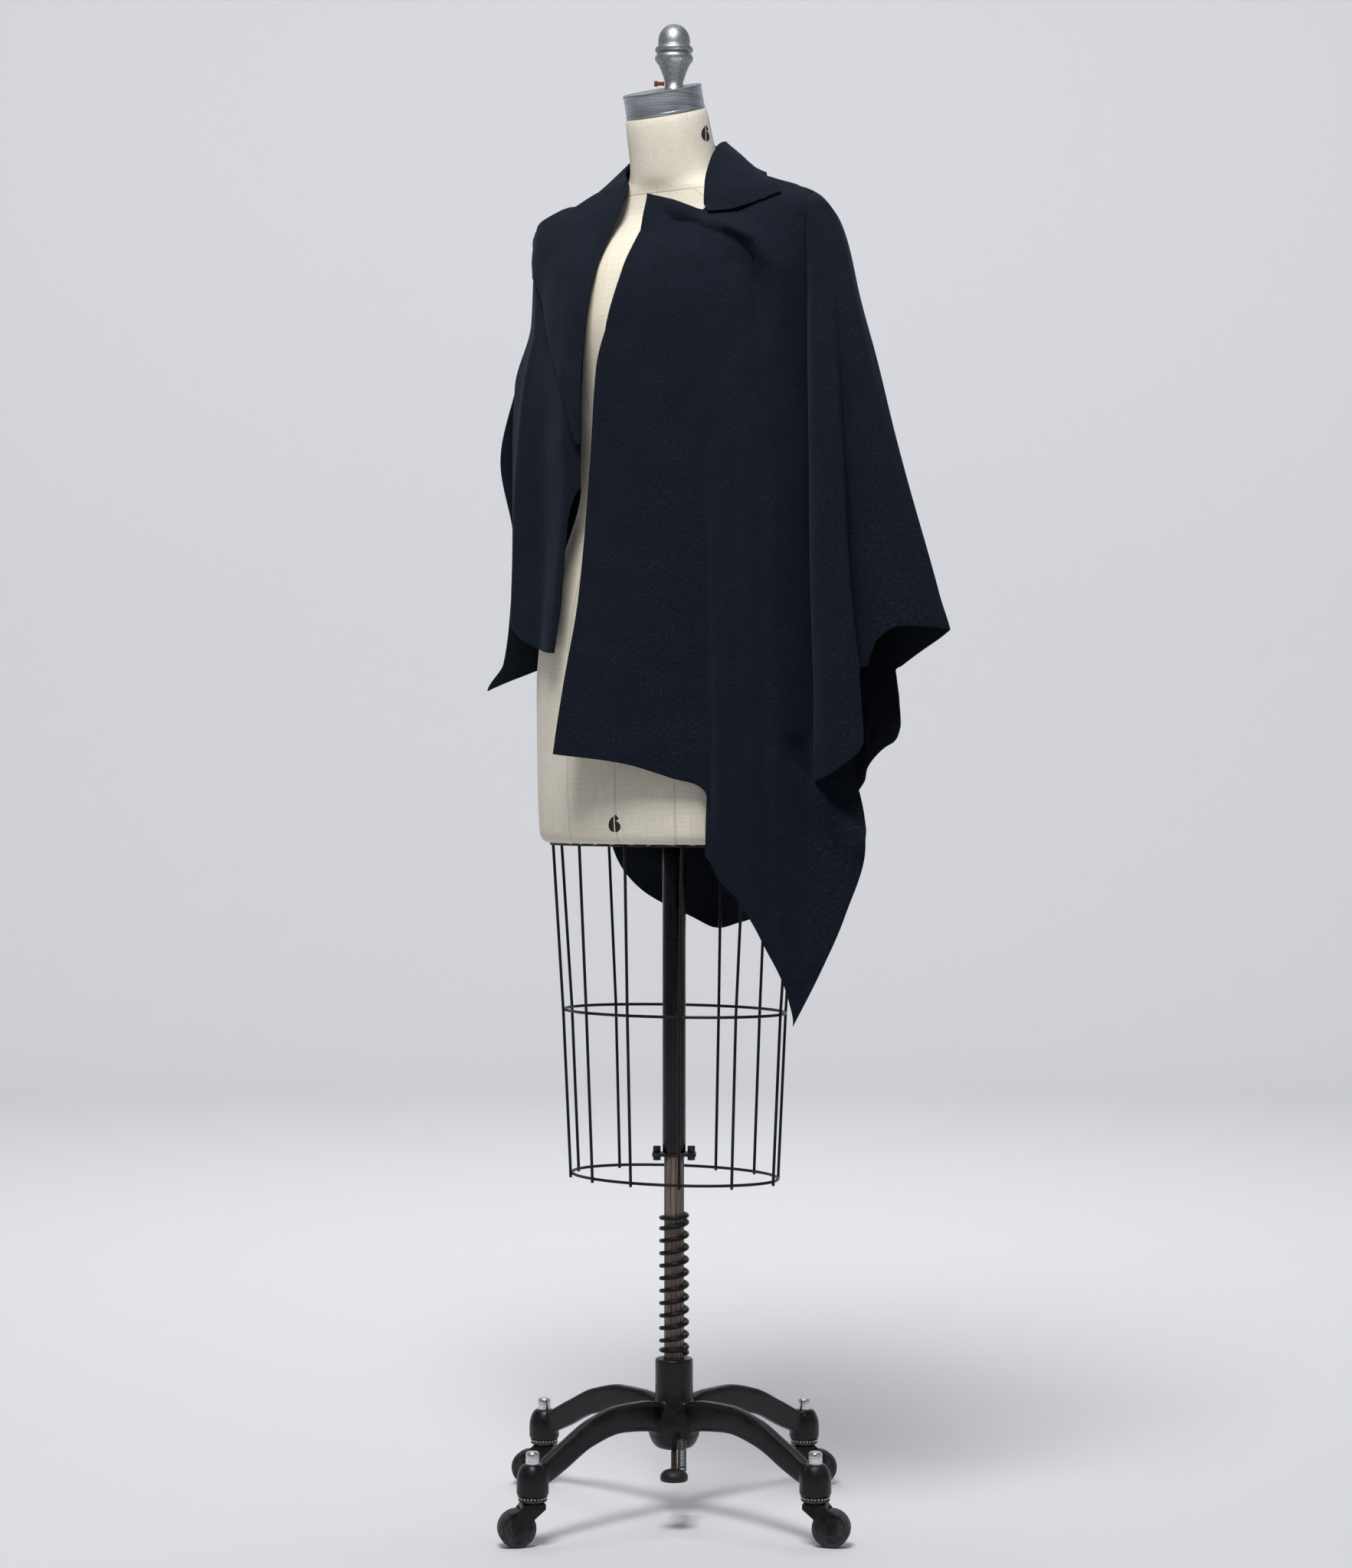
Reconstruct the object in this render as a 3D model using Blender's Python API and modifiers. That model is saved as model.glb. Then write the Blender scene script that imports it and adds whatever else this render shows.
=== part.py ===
"""A draped asymmetric jacket of dark wool on a limbless dress form that stands on casters.

Heights are above the floor. Places in plan are given as somebody facing the open front corner sees
them: across to their right and depth away from them, both from the pole. seen() turns them into the
part's axes, where the form faces -Y and the wearer's left side is at +X. Tables are in millimetres.
"""
import bpy
import bmesh
import numpy as np
from math import cos, hypot, pi, radians, sin
from mathutils import Matrix, Vector
from mathutils.bvhtree import BVHTree

MM = 0.001
COLLECTION = "asymmetric_jacket_on_dress_form"
SEEN_FROM = radians(33.4)           # how far the viewer stands round from the form's own front
POLE_AT = (-0.0505, 0.0)            # the pole's place, with the whole part centred on the origin
SEAM_GAP = 0.3 * MM
SEAM_REACH = 32 * MM               # how far apart two edges may be drawn and still be sewn
MERGE = 0.00001

# Cloth
CLOTH_WALL = 2.0 * MM
CLOTH_OFF_FORM = 7.0 * MM           # from the form to the middle of the cloth's wall
FALL_OFF_PANEL = 6.0 * MM           # from a panel's middle to the middle of what lies on it
CLOTH_REACH = 60 * MM               # how far off the cloth still feels what it rests on

# Form
NECK_LEAN = radians(17.4)
CAP_HEIGHT = 27.5 * MM
FORM_SIDES = 26
# height, half width, half depth, how far forward of the pole, lean in degrees
FORM_RINGS = (
    (781, 158, 109, 0, 0),
    (788, 165, 115, 0, 0),
    (860, 172, 121, 0, 0),
    (960, 176, 123, 0, 0),
    (1040, 168, 118, 0, 0),
    (1120, 138, 102, 0, 0),
    (1195, 115, 93, 0, 0),
    (1270, 129, 101, 2, 0),
    (1370, 150, 115, 4, 0),
    (1430, 160, 104, 1, 0),
    (1470, 178, 82, -4, 0),
    (1492, 193, 62, -8, 0),
    (1503, 194, 50, -8, 0),
    (1518, 160, 46, -9, 1),
    (1534, 115, 46, -10, 3),
    (1547, 76, 49, -10, 8),
    (1557, 60, 50, -7, 13),
    (1580, 52, 47, 3, 17.4),
    (1626.16, 49, 43, 17, 17.4),
)
CAP_RING = (1626.32, 48, 42, 17.5)   # height, half width, half depth, how far forward

# Column
SLEEVE_RADIUS = 13.5 * MM
SLEEVE_BOTTOM = 0.4215
POLE_RADIUS = 11.6 * MM
POLE_BOTTOM = 0.140
CLAMP_BOTTOM = 0.417
CLAMP_LENGTH = 51 * MM
SPRING_TOP = 0.352
SPRING_BOTTOM = 0.185
SPRING_PITCH = 14.5 * MM
SPRING_RADIUS = 15.1 * MM
SPRING_WIRE = 2.5 * MM

# Base
CASTER_REACH = (157.5, 160.0)       # across and depth of each caster's stem
WHEEL_RADIUS = 21.25 * MM
WHEEL_WIDTH = 18 * MM
WHEEL_TRAIL = 18 * MM
AXLE_RADIUS = 2.6 * MM
WHEEL_BORE = 2.9 * MM
# name, side across, side in depth, which way the wheel trails, in degrees from across
CASTERS = (
    ("front_left", -1, -1, 192),
    ("front_right", 1, -1, -12),
    ("rear_left", -1, 1, 168),
    ("rear_right", 1, 1, 12),
)

# Cage under the form
CAGE_WIRE = 1.75 * MM
CAGE_SIDES = 12
CAGE_LEAD = radians(2)
# height, half width, half depth of the wires' curve
CAGE_RINGS = ((780.6, 150.4, 102.5), (585.7, 142, 100), (394.5, 130, 91.5))


def seen(across, depth, height=0.0):
    """Point of the part from what the viewer sees, in millimetres."""
    turned = Matrix.Rotation(SEEN_FROM, 3, "Z") @ Vector((across, depth, height))
    return turned * MM + Vector((*POLE_AT, 0.0))


def on_pole(height=0.0):
    return Vector((*POLE_AT, height))


# Materials
def material(name, colour, roughness, metallic=0.0):
    made = bpy.data.materials.get(name) or bpy.data.materials.new(name)
    made.use_nodes = True
    shader = made.node_tree.nodes["Principled BSDF"]
    shader.inputs["Base Color"].default_value = (*colour, 1.0)
    shader.inputs["Roughness"].default_value = roughness
    shader.inputs["Metallic"].default_value = metallic
    return made


# Helpers
def new_collection(name):
    made = bpy.data.collections.new(name)
    bpy.context.scene.collection.children.link(made)
    return made


def add_mesh(name, mesh, surface, collection, at=(0.0, 0.0, 0.0)):
    made = bpy.data.objects.new(name, mesh)
    made.location = at
    if surface:
        mesh.materials.clear()
        mesh.materials.append(surface)
    collection.objects.link(made)
    return made


def mesh_of(name, points, faces):
    mesh = bpy.data.meshes.new(name)
    mesh.from_pydata([tuple(point) for point in points], [], faces)
    mesh.update()
    return mesh


def turned(name, profile, surface, collection, at=(0.0, 0.0, 0.0), sides=24):
    """Solid turned about Z from (radius, height) points that run down its outer side."""
    mesh = bpy.data.meshes.new(name)
    build = bmesh.new()
    points = [build.verts.new((radius * MM, 0.0, height * MM)) for radius, height in profile]
    for first, second in zip(points, points[1:]):
        build.edges.new((first, second))
    build.to_mesh(mesh)
    build.free()
    made = add_mesh(name, mesh, surface, collection, at)
    screw = made.modifiers.new("Turn", "SCREW")
    screw.steps = screw.render_steps = sides
    screw.use_merge_vertices = True
    screw.merge_threshold = MERGE
    return made


def box(name, size, centre, surface, collection):
    build = bmesh.new()
    bmesh.ops.create_cube(build, size=1.0)
    bmesh.ops.scale(build, vec=Vector(size), verts=build.verts)
    mesh = bpy.data.meshes.new(name)
    build.to_mesh(mesh)
    build.free()
    return add_mesh(name, mesh, surface, collection, centre)


def cylinder(name, radius, height, centre, surface, collection, sides=20, taper=1.0):
    """Upright cylinder about its own centre, narrowed at the top by taper."""
    build = bmesh.new()
    bmesh.ops.create_cone(
        build, cap_ends=True, segments=sides, radius1=radius, radius2=radius * taper, depth=height
    )
    mesh = bpy.data.meshes.new(name)
    build.to_mesh(mesh)
    build.free()
    return add_mesh(name, mesh, surface, collection, centre)


def wire(name, points, radius, surface, collection, closed=False, roundness=1, order="POLY"):
    """Round wire through points."""
    curve = bpy.data.curves.new(name, "CURVE")
    curve.dimensions = "3D"
    curve.bevel_depth = radius
    curve.bevel_resolution = roundness
    curve.use_fill_caps = not closed
    line = curve.splines.new(order)
    line.points.add(len(points) - 1)
    for spot, point in zip(line.points, points):
        spot.co = (*point, 1.0)
    line.use_cyclic_u = closed
    made = bpy.data.objects.new(name, curve)
    curve.materials.append(surface)
    collection.objects.link(made)
    return made


def boolean(target, cutter, operation="DIFFERENCE"):
    change = target.modifiers.new(operation.title(), "BOOLEAN")
    change.operation = operation
    change.solver = "EXACT"
    change.object = cutter
    cutter.hide_render = True
    cutter.display_type = "WIRE"


def loft(name, rings, surface, collection, close_ends=True):
    """Solid through rings of equal counts of points."""
    count = len(rings[0])
    points = [point for ring in rings for point in ring]
    faces = []
    for level in range(len(rings) - 1):
        for step in range(count):
            after = (step + 1) % count
            low = level * count
            high = low + count
            faces.append((low + step, low + after, high + after, high + step))
    if close_ends:
        faces.append(tuple(reversed(range(count))))
        faces.append(tuple(range(len(points) - count, len(points))))
    return add_mesh(name, mesh_of(name, points, faces), surface, collection)


# Form
def form_ring(height, half_width, half_depth, forward, lean):
    """One ring of the form, leaning forward by lean degrees about its own middle."""
    ring = []
    for step in range(FORM_SIDES):
        angle = 2 * pi * step / FORM_SIDES
        x, y = half_width * cos(angle), half_depth * sin(angle)
        ring.append(
            on_pole() + Vector((x, y * cos(radians(lean)) - forward, height + y * sin(radians(lean)))) * MM
        )
    return ring


def make_form(parts):
    linen = material("form_linen", (0.79, 0.74, 0.63), 0.85)
    board = material("board_black", (0.03, 0.03, 0.035), 0.6)
    metal = material("cap_aluminium", (0.62, 0.64, 0.66), 0.35, 1.0)
    cast = material("finial_aluminium", (0.55, 0.57, 0.58), 0.5, 1.0)
    dress_form = loft("dress_form", [form_ring(*row) for row in FORM_RINGS], linen, parts)

    bottom = [
        form_ring(778.0, 152, 104, 0, 0),
        form_ring(780.6, 152, 104, 0, 0),
    ]
    loft("form_bottom_board", bottom, board, parts)

    height, half_width, half_depth, forward = CAP_RING
    lean = NECK_LEAN
    up = Vector((0.0, -sin(lean), cos(lean)))
    middle = on_pole(height * MM) + Vector((0.0, -forward * MM, 0.0))
    rings = []
    for rise, shrink in ((0, 1.2), (1.2, 0), (26.3, 0), (27.5, 1.2)):
        ring = []
        for step in range(FORM_SIDES):
            angle = 2 * pi * step / FORM_SIDES
            flat = Vector((
                (half_width - shrink) * cos(angle),
                (half_depth - shrink) * sin(angle) * cos(lean),
                (half_depth - shrink) * sin(angle) * sin(lean),
            ))
            ring.append(middle + (flat + up * rise) * MM)
        rings.append(ring)
    loft("neck_cap", rings, metal, parts)
    return dress_form, middle + up * CAP_HEIGHT, up, cast


# height above the foot and radius of the finial, from its top down
FINIAL = (
    (0, 102.5), (9, 100), (15.5, 93), (18.6, 83), (18.0, 77), (22.0, 74), (22.0, 70.5), (18.5, 68),
    (22.0, 64.5), (22.0, 59.5), (16.5, 51), (10.4, 36), (10.4, 31), (14.5, 19), (14.5, 0), (0, 0),
)


def make_finial(parts, cap_middle, up, cast):
    finial = turned("finial", FINIAL, cast, parts, sides=18)
    finial_top = 1.733
    finial.location = on_pole(finial_top - 0.1025)
    plane_point = cap_middle + up * SEAM_GAP
    depsgraph = bpy.context.evaluated_depsgraph_get()
    mesh = bpy.data.meshes.new_from_object(finial.evaluated_get(depsgraph))
    place = finial.location.copy()
    build = bmesh.new()
    build.from_mesh(mesh)
    bmesh.ops.remove_doubles(build, verts=build.verts, dist=MERGE)
    everything = build.verts[:] + build.edges[:] + build.faces[:]
    cut = bmesh.ops.bisect_plane(
        build, geom=everything, plane_co=plane_point - place, plane_no=up, clear_inner=True
    )
    rim = [item for item in cut["geom_cut"] if isinstance(item, bmesh.types.BMEdge)]
    bmesh.ops.holes_fill(build, edges=rim)
    build.to_mesh(mesh)
    build.free()
    bpy.data.objects.remove(finial)
    made = add_mesh("finial", mesh, cast, parts, place)
    screw = cylinder("finial_screw", 0.0032, 0.012, (0, 0, 0), cast, parts, sides=12)
    screw.rotation_euler = (0.0, pi / 2, SEEN_FROM)
    side = seen(-1, 0) - seen(0, 0)
    screw.location = place + side.normalized() * (0.0104 + 0.0066) + Vector((0, 0, 0.0335))
    return made


# Column
# radius and height of a clamp's bolt over the plate's underside, from its top down
BOLT = (
    (0, 11.5), (5.0, 11.5), (5.0, 4.1), (2.4, 4.1), (2.4, -0.3), (5.0, -0.3), (5.0, -5.0), (0, -5.0),
)


def make_column(parts, cutters):
    black = material("column_black", (0.02, 0.02, 0.023), 0.35)
    worn = material("pole_worn", (0.07, 0.05, 0.042), 0.5, 0.4)
    steel = material("clamp_steel", (0.06, 0.06, 0.065), 0.4, 0.8)
    board_under = 0.778
    sleeve_height = board_under - SEAM_GAP - SLEEVE_BOTTOM
    middle = SLEEVE_BOTTOM + sleeve_height / 2
    cylinder("column_sleeve", SLEEVE_RADIUS, sleeve_height, on_pole(middle), black, parts, 24)

    plate = box(
        "clamp_plate", (CLAMP_LENGTH, 0.024, 0.0038), on_pole(CLAMP_BOTTOM + 0.0019), steel, parts
    )
    plate.rotation_euler.z = SEEN_FROM
    for side, name in ((-1, "clamp_bolt_left"), (1, "clamp_bolt_right")):
        at = seen(side * 20.0, 0.0)
        turned(name, BOLT, steel, parts, (at.x, at.y, CLAMP_BOTTOM), 6)
        hole = cylinder(name + "_hole", 0.0029, 0.02, (at.x, at.y, CLAMP_BOTTOM), None, cutters, 12)
        boolean(plate, hole)
    bore = POLE_RADIUS + SEAM_GAP
    boolean(plate, cylinder("pole_hole", bore, 0.02, on_pole(CLAMP_BOTTOM), None, cutters, 24))

    pole_top = SLEEVE_BOTTOM - SEAM_GAP
    height = pole_top - POLE_BOTTOM
    cylinder("pole", POLE_RADIUS, height, on_pole(POLE_BOTTOM + height / 2), worn, parts, 24)


def make_spring(parts):
    black = material("spring_black", (0.02, 0.02, 0.023), 0.35, 0.3)
    per_turn = 10
    low, high = SPRING_BOTTOM + SPRING_WIRE, SPRING_TOP - SPRING_WIRE
    closed_pitch = 2.25 * SPRING_WIRE
    turns_open = (high - low - 2 * closed_pitch) / SPRING_PITCH
    turns = turns_open + 2
    points = []
    count = int(round(turns * per_turn))
    for step in range(count + 1):
        turn = turns * step / count
        if turn < 1:
            rise = closed_pitch * turn
        elif turn > turns - 1:
            rise = high - low - closed_pitch * (turns - turn)
        else:
            rise = closed_pitch + SPRING_PITCH * (turn - 1)
        angle = 2 * pi * turn
        points.append(on_pole(low + rise) + Vector((cos(angle), sin(angle), 0.0)) * SPRING_RADIUS)
    wire("column_spring", points, SPRING_WIRE, black, parts)


# Base
# radius and height of the hub's outline, from its top down
HUB = (
    (12.3, 182), (20.5, 182), (22, 180.5), (22, 142), (24, 130), (29, 118), (31, 104), (29, 92), (22, 80),
    (14, 77), (0, 77), (0, 88), (12.3, 88), (12.3, 182),
)
# how far out each section of a leg stands, its middle's height, half depth of the section and half width
LEG = (
    (14, 112, 19, 9), (50, 121, 17.5, 8), (90, 123, 16, 7.5), (135, 114, 15.5, 7.5), (178, 94, 15.5, 7.5),
    (220, 74, 13, 7.5),
)
BELL = ((0, 92), (9, 92), (12.5, 90), (16, 84), (18, 76), (18, 57), (0, 57))


def leg_ring(direction, reach, height, half_height, half_width):
    """Section of a leg: a rectangle with its corners taken off."""
    sideways = Vector((-direction.y, direction.x, 0.0))
    corner = 0.45
    outline = (
        (1, corner), (corner, 1), (-corner, 1), (-1, corner), (-1, -corner), (-corner, -1), (corner, -1),
        (1, -corner),
    )
    centre = on_pole(height * MM) + direction * reach * MM
    return [centre + (sideways * half_width * a + Vector((0, 0, half_height * b))) * MM for a, b in outline]


def make_base(parts, cutters):
    iron = material("base_cast_iron", (0.018, 0.018, 0.02), 0.32, 0.2)
    base = turned("cast_base", HUB, iron, parts, on_pole(), 24)
    for name, across, depth, _ in CASTERS:
        stem = seen(across * CASTER_REACH[0], depth * CASTER_REACH[1]) - on_pole()
        direction = stem.normalized()
        rings = [leg_ring(direction, *row) for row in LEG]
        leg = loft("leg_" + name, rings, iron, cutters)
        bell = turned("bell_" + name, BELL, iron, cutters, on_pole() + stem, 16)
        boolean(base, leg, "UNION")
        boolean(base, bell, "UNION")
    return base


def make_casters(parts, cutters):
    iron = material("caster_black", (0.03, 0.03, 0.03), 0.4, 0.3)
    chrome = material("stem_chrome", (0.72, 0.73, 0.74), 0.15, 1.0)
    race = material("race_steel", (0.2, 0.19, 0.18), 0.4, 1.0)
    rubber = material("wheel_rubber", (0.045, 0.045, 0.048), 0.6)
    for name, across, depth, trail in CASTERS:
        stem = seen(across * CASTER_REACH[0], depth * CASTER_REACH[1])
        stem_top = ((0, 105.5), (6, 105.5), (7.7, 104), (7.7, 92.3), (0, 92.3))
        turned("stem_" + name, stem_top, chrome, parts, (stem.x, stem.y, 0), 12)
        ring = ((0, 56.7), (16.5, 56.7), (16.5, 51.5), (12.5, 48.7), (0, 48.7))
        turned("race_" + name, ring, race, parts, (stem.x, stem.y, 0), 16)

        turn = SEEN_FROM + radians(trail)
        away = Vector((cos(turn), sin(turn), 0.0))
        hub = Vector((stem.x, stem.y, 0.0)) + away * WHEEL_TRAIL
        width = WHEEL_WIDTH + 0.0072
        side = ((-13, 48.4), (12, 48.4), (25, 32), (25, 20), (21, 15), (15, 15), (9, 24), (-13, 43))
        curve = bpy.data.curves.new("fork_" + name, "CURVE")
        curve.dimensions = "2D"
        curve.fill_mode = "BOTH"
        curve.extrude = width / 2
        line = curve.splines.new("POLY")
        line.points.add(len(side) - 1)
        for spot, (out, height) in zip(line.points, side):
            spot.co = (out * MM, height * MM, 0.0, 1.0)
        line.use_cyclic_u = True
        plain = bpy.data.objects.new("fork_outline", curve)
        parts.objects.link(plain)
        bpy.context.view_layer.update()
        mesh = bpy.data.meshes.new_from_object(
            plain.evaluated_get(bpy.context.evaluated_depsgraph_get())
        )
        build = bmesh.new()
        build.from_mesh(mesh)
        bmesh.ops.remove_doubles(build, verts=build.verts, dist=MERGE)
        bmesh.ops.rotate(build, verts=build.verts, matrix=Matrix.Rotation(pi / 2, 3, "X"))
        build.to_mesh(mesh)
        build.free()
        bpy.data.objects.remove(plain)
        fork = add_mesh("fork_" + name, mesh, iron, parts, (stem.x, stem.y, 0))
        fork.rotation_euler.z = turn
        slot = box(
            "slot_" + name, (0.06, WHEEL_WIDTH + 0.0016, 0.05), (0, 0, 0), None, cutters
        )
        slot.location = hub + Vector((0, 0, 0.0444 - 0.025)) + away * 0.004
        slot.rotation_euler.z = turn
        boolean(fork, slot)
        axle = hub + Vector((0, 0, WHEEL_RADIUS))
        pin = cylinder("axle_" + name, AXLE_RADIUS, width + 0.004, axle, iron, cutters, 12)
        pin.rotation_euler = (pi / 2, 0.0, turn)
        boolean(fork, pin, "UNION")

        half = WHEEL_WIDTH / 2 / MM
        radius = WHEEL_RADIUS / MM
        sides = 20
        outer = radius / cos(pi / sides)
        profile = (
            (2.9, half), (9, half), (16.5, half - 2.5), (outer - 1.5, half), (outer, half - 1.5),
            (outer, 1.5 - half), (outer - 1.5, -half), (16.5, 2.5 - half), (9, -half), (2.9, -half),
            (2.9, half),
        )
        wheel = turned("wheel_" + name, profile, rubber, parts, sides=sides)
        wheel.location = axle
        upright = Matrix.Rotation(turn, 3, "Z") @ Matrix.Rotation(pi / 2, 3, "X")
        wheel.rotation_euler = (upright @ Matrix.Rotation(pi / sides, 3, "Z")).to_euler()


def make_pedal(parts):
    brown = material("pedal_brown", (0.12, 0.075, 0.05), 0.55, 0.3)
    black = material("pedal_black", (0.02, 0.02, 0.023), 0.4)
    out = [(0, -4, 73), (0, -30, 72), (0, -55, 70), (0, -74.4, 65)]
    wire("pedal_arm", [seen(*spot) for spot in out], 3.6 * MM, brown, parts, roundness=1)
    at = seen(0, -90)
    pad = ((0, 71), (9, 70.5), (13, 68.5), (15.5, 65), (16, 61), (15, 58.5), (0, 58.5))
    turned("pedal_pad", pad, black, parts, (at.x, at.y, 0), 16)


# Cage
def cage_spot(angle, row, outward=0.0):
    height, half_width, half_depth = row
    return on_pole() + Vector(
        ((half_width + outward) * cos(angle), (half_depth + outward) * sin(angle), height)
    ) * MM


def cage_angles(count):
    """Angles that space spots evenly along the cage's middle oval, from its lead on."""
    half_width, half_depth = CAGE_RINGS[1][1:]
    fine = CAGE_LEAD + np.linspace(0, 2 * pi, 1441)
    line = np.stack((half_width * np.cos(fine), half_depth * np.sin(fine)), axis=1)
    run = np.concatenate(([0.0], np.cumsum(np.linalg.norm(np.diff(line, axis=0), axis=1))))
    return [float(angle) for angle in np.interp(run[-1] * np.arange(count) / count, run, fine)]


def make_cage(parts):
    black = material("cage_wire", (0.025, 0.027, 0.028), 0.4, 0.6)
    outward = (2 * CAGE_WIRE + SEAM_GAP) / MM
    for step, angle in enumerate(cage_angles(CAGE_SIDES)):
        spots = [cage_spot(angle, row, outward) for row in CAGE_RINGS]
        spots[-1].z -= 0.004
        wire("cage_wire_%02d" % (step + 1), spots, CAGE_WIRE, black, parts)
    for name, row in zip(("cage_ring_middle", "cage_ring_bottom"), CAGE_RINGS[1:]):
        spots = [cage_spot(angle, row) for angle in cage_angles(2 * CAGE_SIDES)]
        wire(name, spots, CAGE_WIRE, black, parts, closed=True)


# Cloth
def smooth(xs, ys, x):
    """Smooth line through points that never overshoots them, read at x."""
    xs, ys = np.asarray(xs, float), np.asarray(ys, float)
    if xs[0] > xs[-1]:
        xs, ys = xs[::-1], ys[::-1]
    x = float(min(max(x, xs[0]), xs[-1]))
    step = np.diff(xs)
    slope = np.diff(ys) / step
    bend = np.zeros(len(xs))
    bend[0], bend[-1] = slope[0], slope[-1]
    for k in range(1, len(xs) - 1):
        if slope[k - 1] * slope[k] > 0:
            heavy, light = 2 * step[k] + step[k - 1], step[k] + 2 * step[k - 1]
            bend[k] = (heavy + light) / (heavy / slope[k - 1] + light / slope[k])
    k = int(min(max(np.searchsorted(xs, x) - 1, 0), len(step) - 1))
    t = (x - xs[k]) / step[k]
    return (
        (1 + 2 * t) * (1 - t) ** 2 * ys[k] + t * (1 - t) ** 2 * step[k] * bend[k]
        + t * t * (3 - 2 * t) * ys[k + 1] + t * t * (t - 1) * step[k] * bend[k + 1]
    )


def plan_at(sections, line, height):
    """Across and depth of a panel on a line, counted from its first, at a height."""
    heights = [row[0] for row in sections]
    lines = len(sections[0]) - 1
    places = []
    for axis in (0, 1):
        on_lines = [
            smooth(heights, [row[1 + k][axis] for row in sections], height) for k in range(lines)
        ]
        places.append(smooth(range(lines), on_lines, line))
    return places


def fold_depth(folds, line, height, pitch):
    """How far the folds move a spot of a panel outward, in millimetres."""
    total = 0.0
    for path, width, depth in folds:
        nearest, along_at, run = None, 0.0, 0.0
        for (line_a, high_a), (line_b, high_b) in zip(path, path[1:]):
            a = np.array((line_a * pitch, high_a))
            b = np.array((line_b * pitch, high_b))
            spot = np.array((line * pitch, height))
            length = float(np.linalg.norm(b - a))
            t = float(np.clip(np.dot(spot - a, b - a) / length ** 2, 0.0, 1.0))
            away = float(np.linalg.norm(a + (b - a) * t - spot))
            if nearest is None or away < nearest:
                nearest, along_at = away, run + t * length
            run += length
        grown = min(1.0, 1.6 * along_at / run)
        total += (depth[0] + (depth[1] - depth[0]) * grown) * np.exp(-((nearest / width) ** 2))
    return total


def panel_spot(panel, line, height):
    """Point of a panel's middle surface, in the part's axes."""
    sections, folds, pitch = panel["sections"], panel["folds"], panel["pitch"]
    across, depth = plan_at(sections, line, height)
    nudge = 0.05
    before = plan_at(sections, max(0.0, line - nudge), height)
    after = plan_at(sections, min(len(sections[0]) - 2.0, line + nudge), height)
    run = (after[0] - before[0], after[1] - before[1])
    size = hypot(*run)
    out = fold_depth(folds, line, height, pitch)
    return seen(across + run[1] / size * out, depth - run[0] / size * out, height)


def rest_on(point, tree, distance):
    """Point moved off a surface to at least a distance on its outer side."""
    found, normal, _, away = tree.find_nearest(point, CLOTH_REACH)
    if found is None:
        return point
    off = (point - found).dot(normal)
    beside = max(0.0, away ** 2 - off ** 2) ** 0.5
    if off < distance and beside < 2.0 * MM:
        return found + normal * distance
    return point


def edge_of(grid, side):
    """Points along one edge of a panel's grid, each with the way its cloth runs out to it."""
    if side == "top":
        pairs = [(column[0], column[1]) for column in grid]
    elif side == "first":
        pairs = list(zip(grid[0], grid[1]))
    else:
        pairs = list(zip(grid[-1], grid[-2]))
    return [(rim, (rim - inner).normalized()) for rim, inner in pairs]


def sewn(point, inner, edge):
    """Point of a rim moved up to a neighbour's edge, a seam's gap off it along its own cloth."""
    best = None
    for (start, out_a), (end, out_b) in zip(edge, edge[1:]):
        along = end - start
        t = min(max((point - start).dot(along) / along.length_squared, 0.0), 1.0)
        spot = start + along * t
        apart = (spot - point).length
        if best is None or apart < best[0]:
            best = (apart, spot, out_a.lerp(out_b, t).normalized())
    apart, spot, out = best
    if apart > SEAM_REACH:
        return point
    away = (inner - spot).normalized()
    straight = away.dot(out)
    bent = max(0.3, (away - out * straight).length)
    half = CLOTH_WALL / 2
    if straight > 0:
        return spot + away * (half * bent + SEAM_GAP)
    return spot + away * (half * (1 - straight) + 2 * SEAM_GAP) / bent


def make_wall(name, points, faces, surface, parts):
    made = add_mesh(name, mesh_of(name, points, faces), surface, parts)
    wall = made.modifiers.new("Wall", "SOLIDIFY")
    wall.thickness = CLOTH_WALL
    wall.offset = 0.0
    return BVHTree.FromPolygons(points, faces)


def make_panel(name, panel, form, surface, parts, seams=()):
    """Cloth wall over a panel's grid of lines across and steps down, and the grid itself.

    Each seam is a side of the panel, the neighbour's edge, and pairs of a line (or, on an upright side,
    a step down) with the share of the way that the rim goes to that edge there.
    """
    ends = panel["ends"]
    spots = [row[0] for row in ends]
    tops = [row[1] for row in ends]
    hems = [row[2] for row in ends]
    columns = panel["columns"]
    down = panel["rows"]
    grid = []
    for line in columns:
        top, hem = smooth(spots, tops, line), smooth(spots, hems, line)
        fall = [(step / down) ** 1.35 for step in range(down + 1)]
        column = [panel_spot(panel, line, top + (hem - top) * t) for t in fall]
        grid.append([rest_on(spot, form, CLOTH_OFF_FORM) for spot in column])
    for side, edge, shares in seams:
        if side == "top":
            for line, column in zip(columns, grid):
                share = np.interp(line, *zip(*shares))
                column[0] = column[0].lerp(sewn(column[0], column[1], edge), share)
        else:
            rim, inner = (grid[0], grid[1]) if side == "first" else (grid[-1], grid[-2])
            for step in range(down + 1):
                share = np.interp(step, *zip(*shares))
                rim[step] = rim[step].lerp(sewn(rim[step], inner[step], edge), share)
    points = [point for column in grid for point in column]
    faces = []
    for column in range(len(columns) - 1):
        for step in range(down):
            a = column * (down + 1) + step
            faces.append((a, a + 1, a + down + 2, a + down + 1))
    return make_wall(name, points, faces, surface, parts), grid


def spread(first, last, count, extra=()):
    """Evenly spaced places with a few more between them."""
    even = [first + (last - first) * k / count for k in range(count + 1)]
    return sorted(set(round(value, 4) for value in even + list(extra)))


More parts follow.
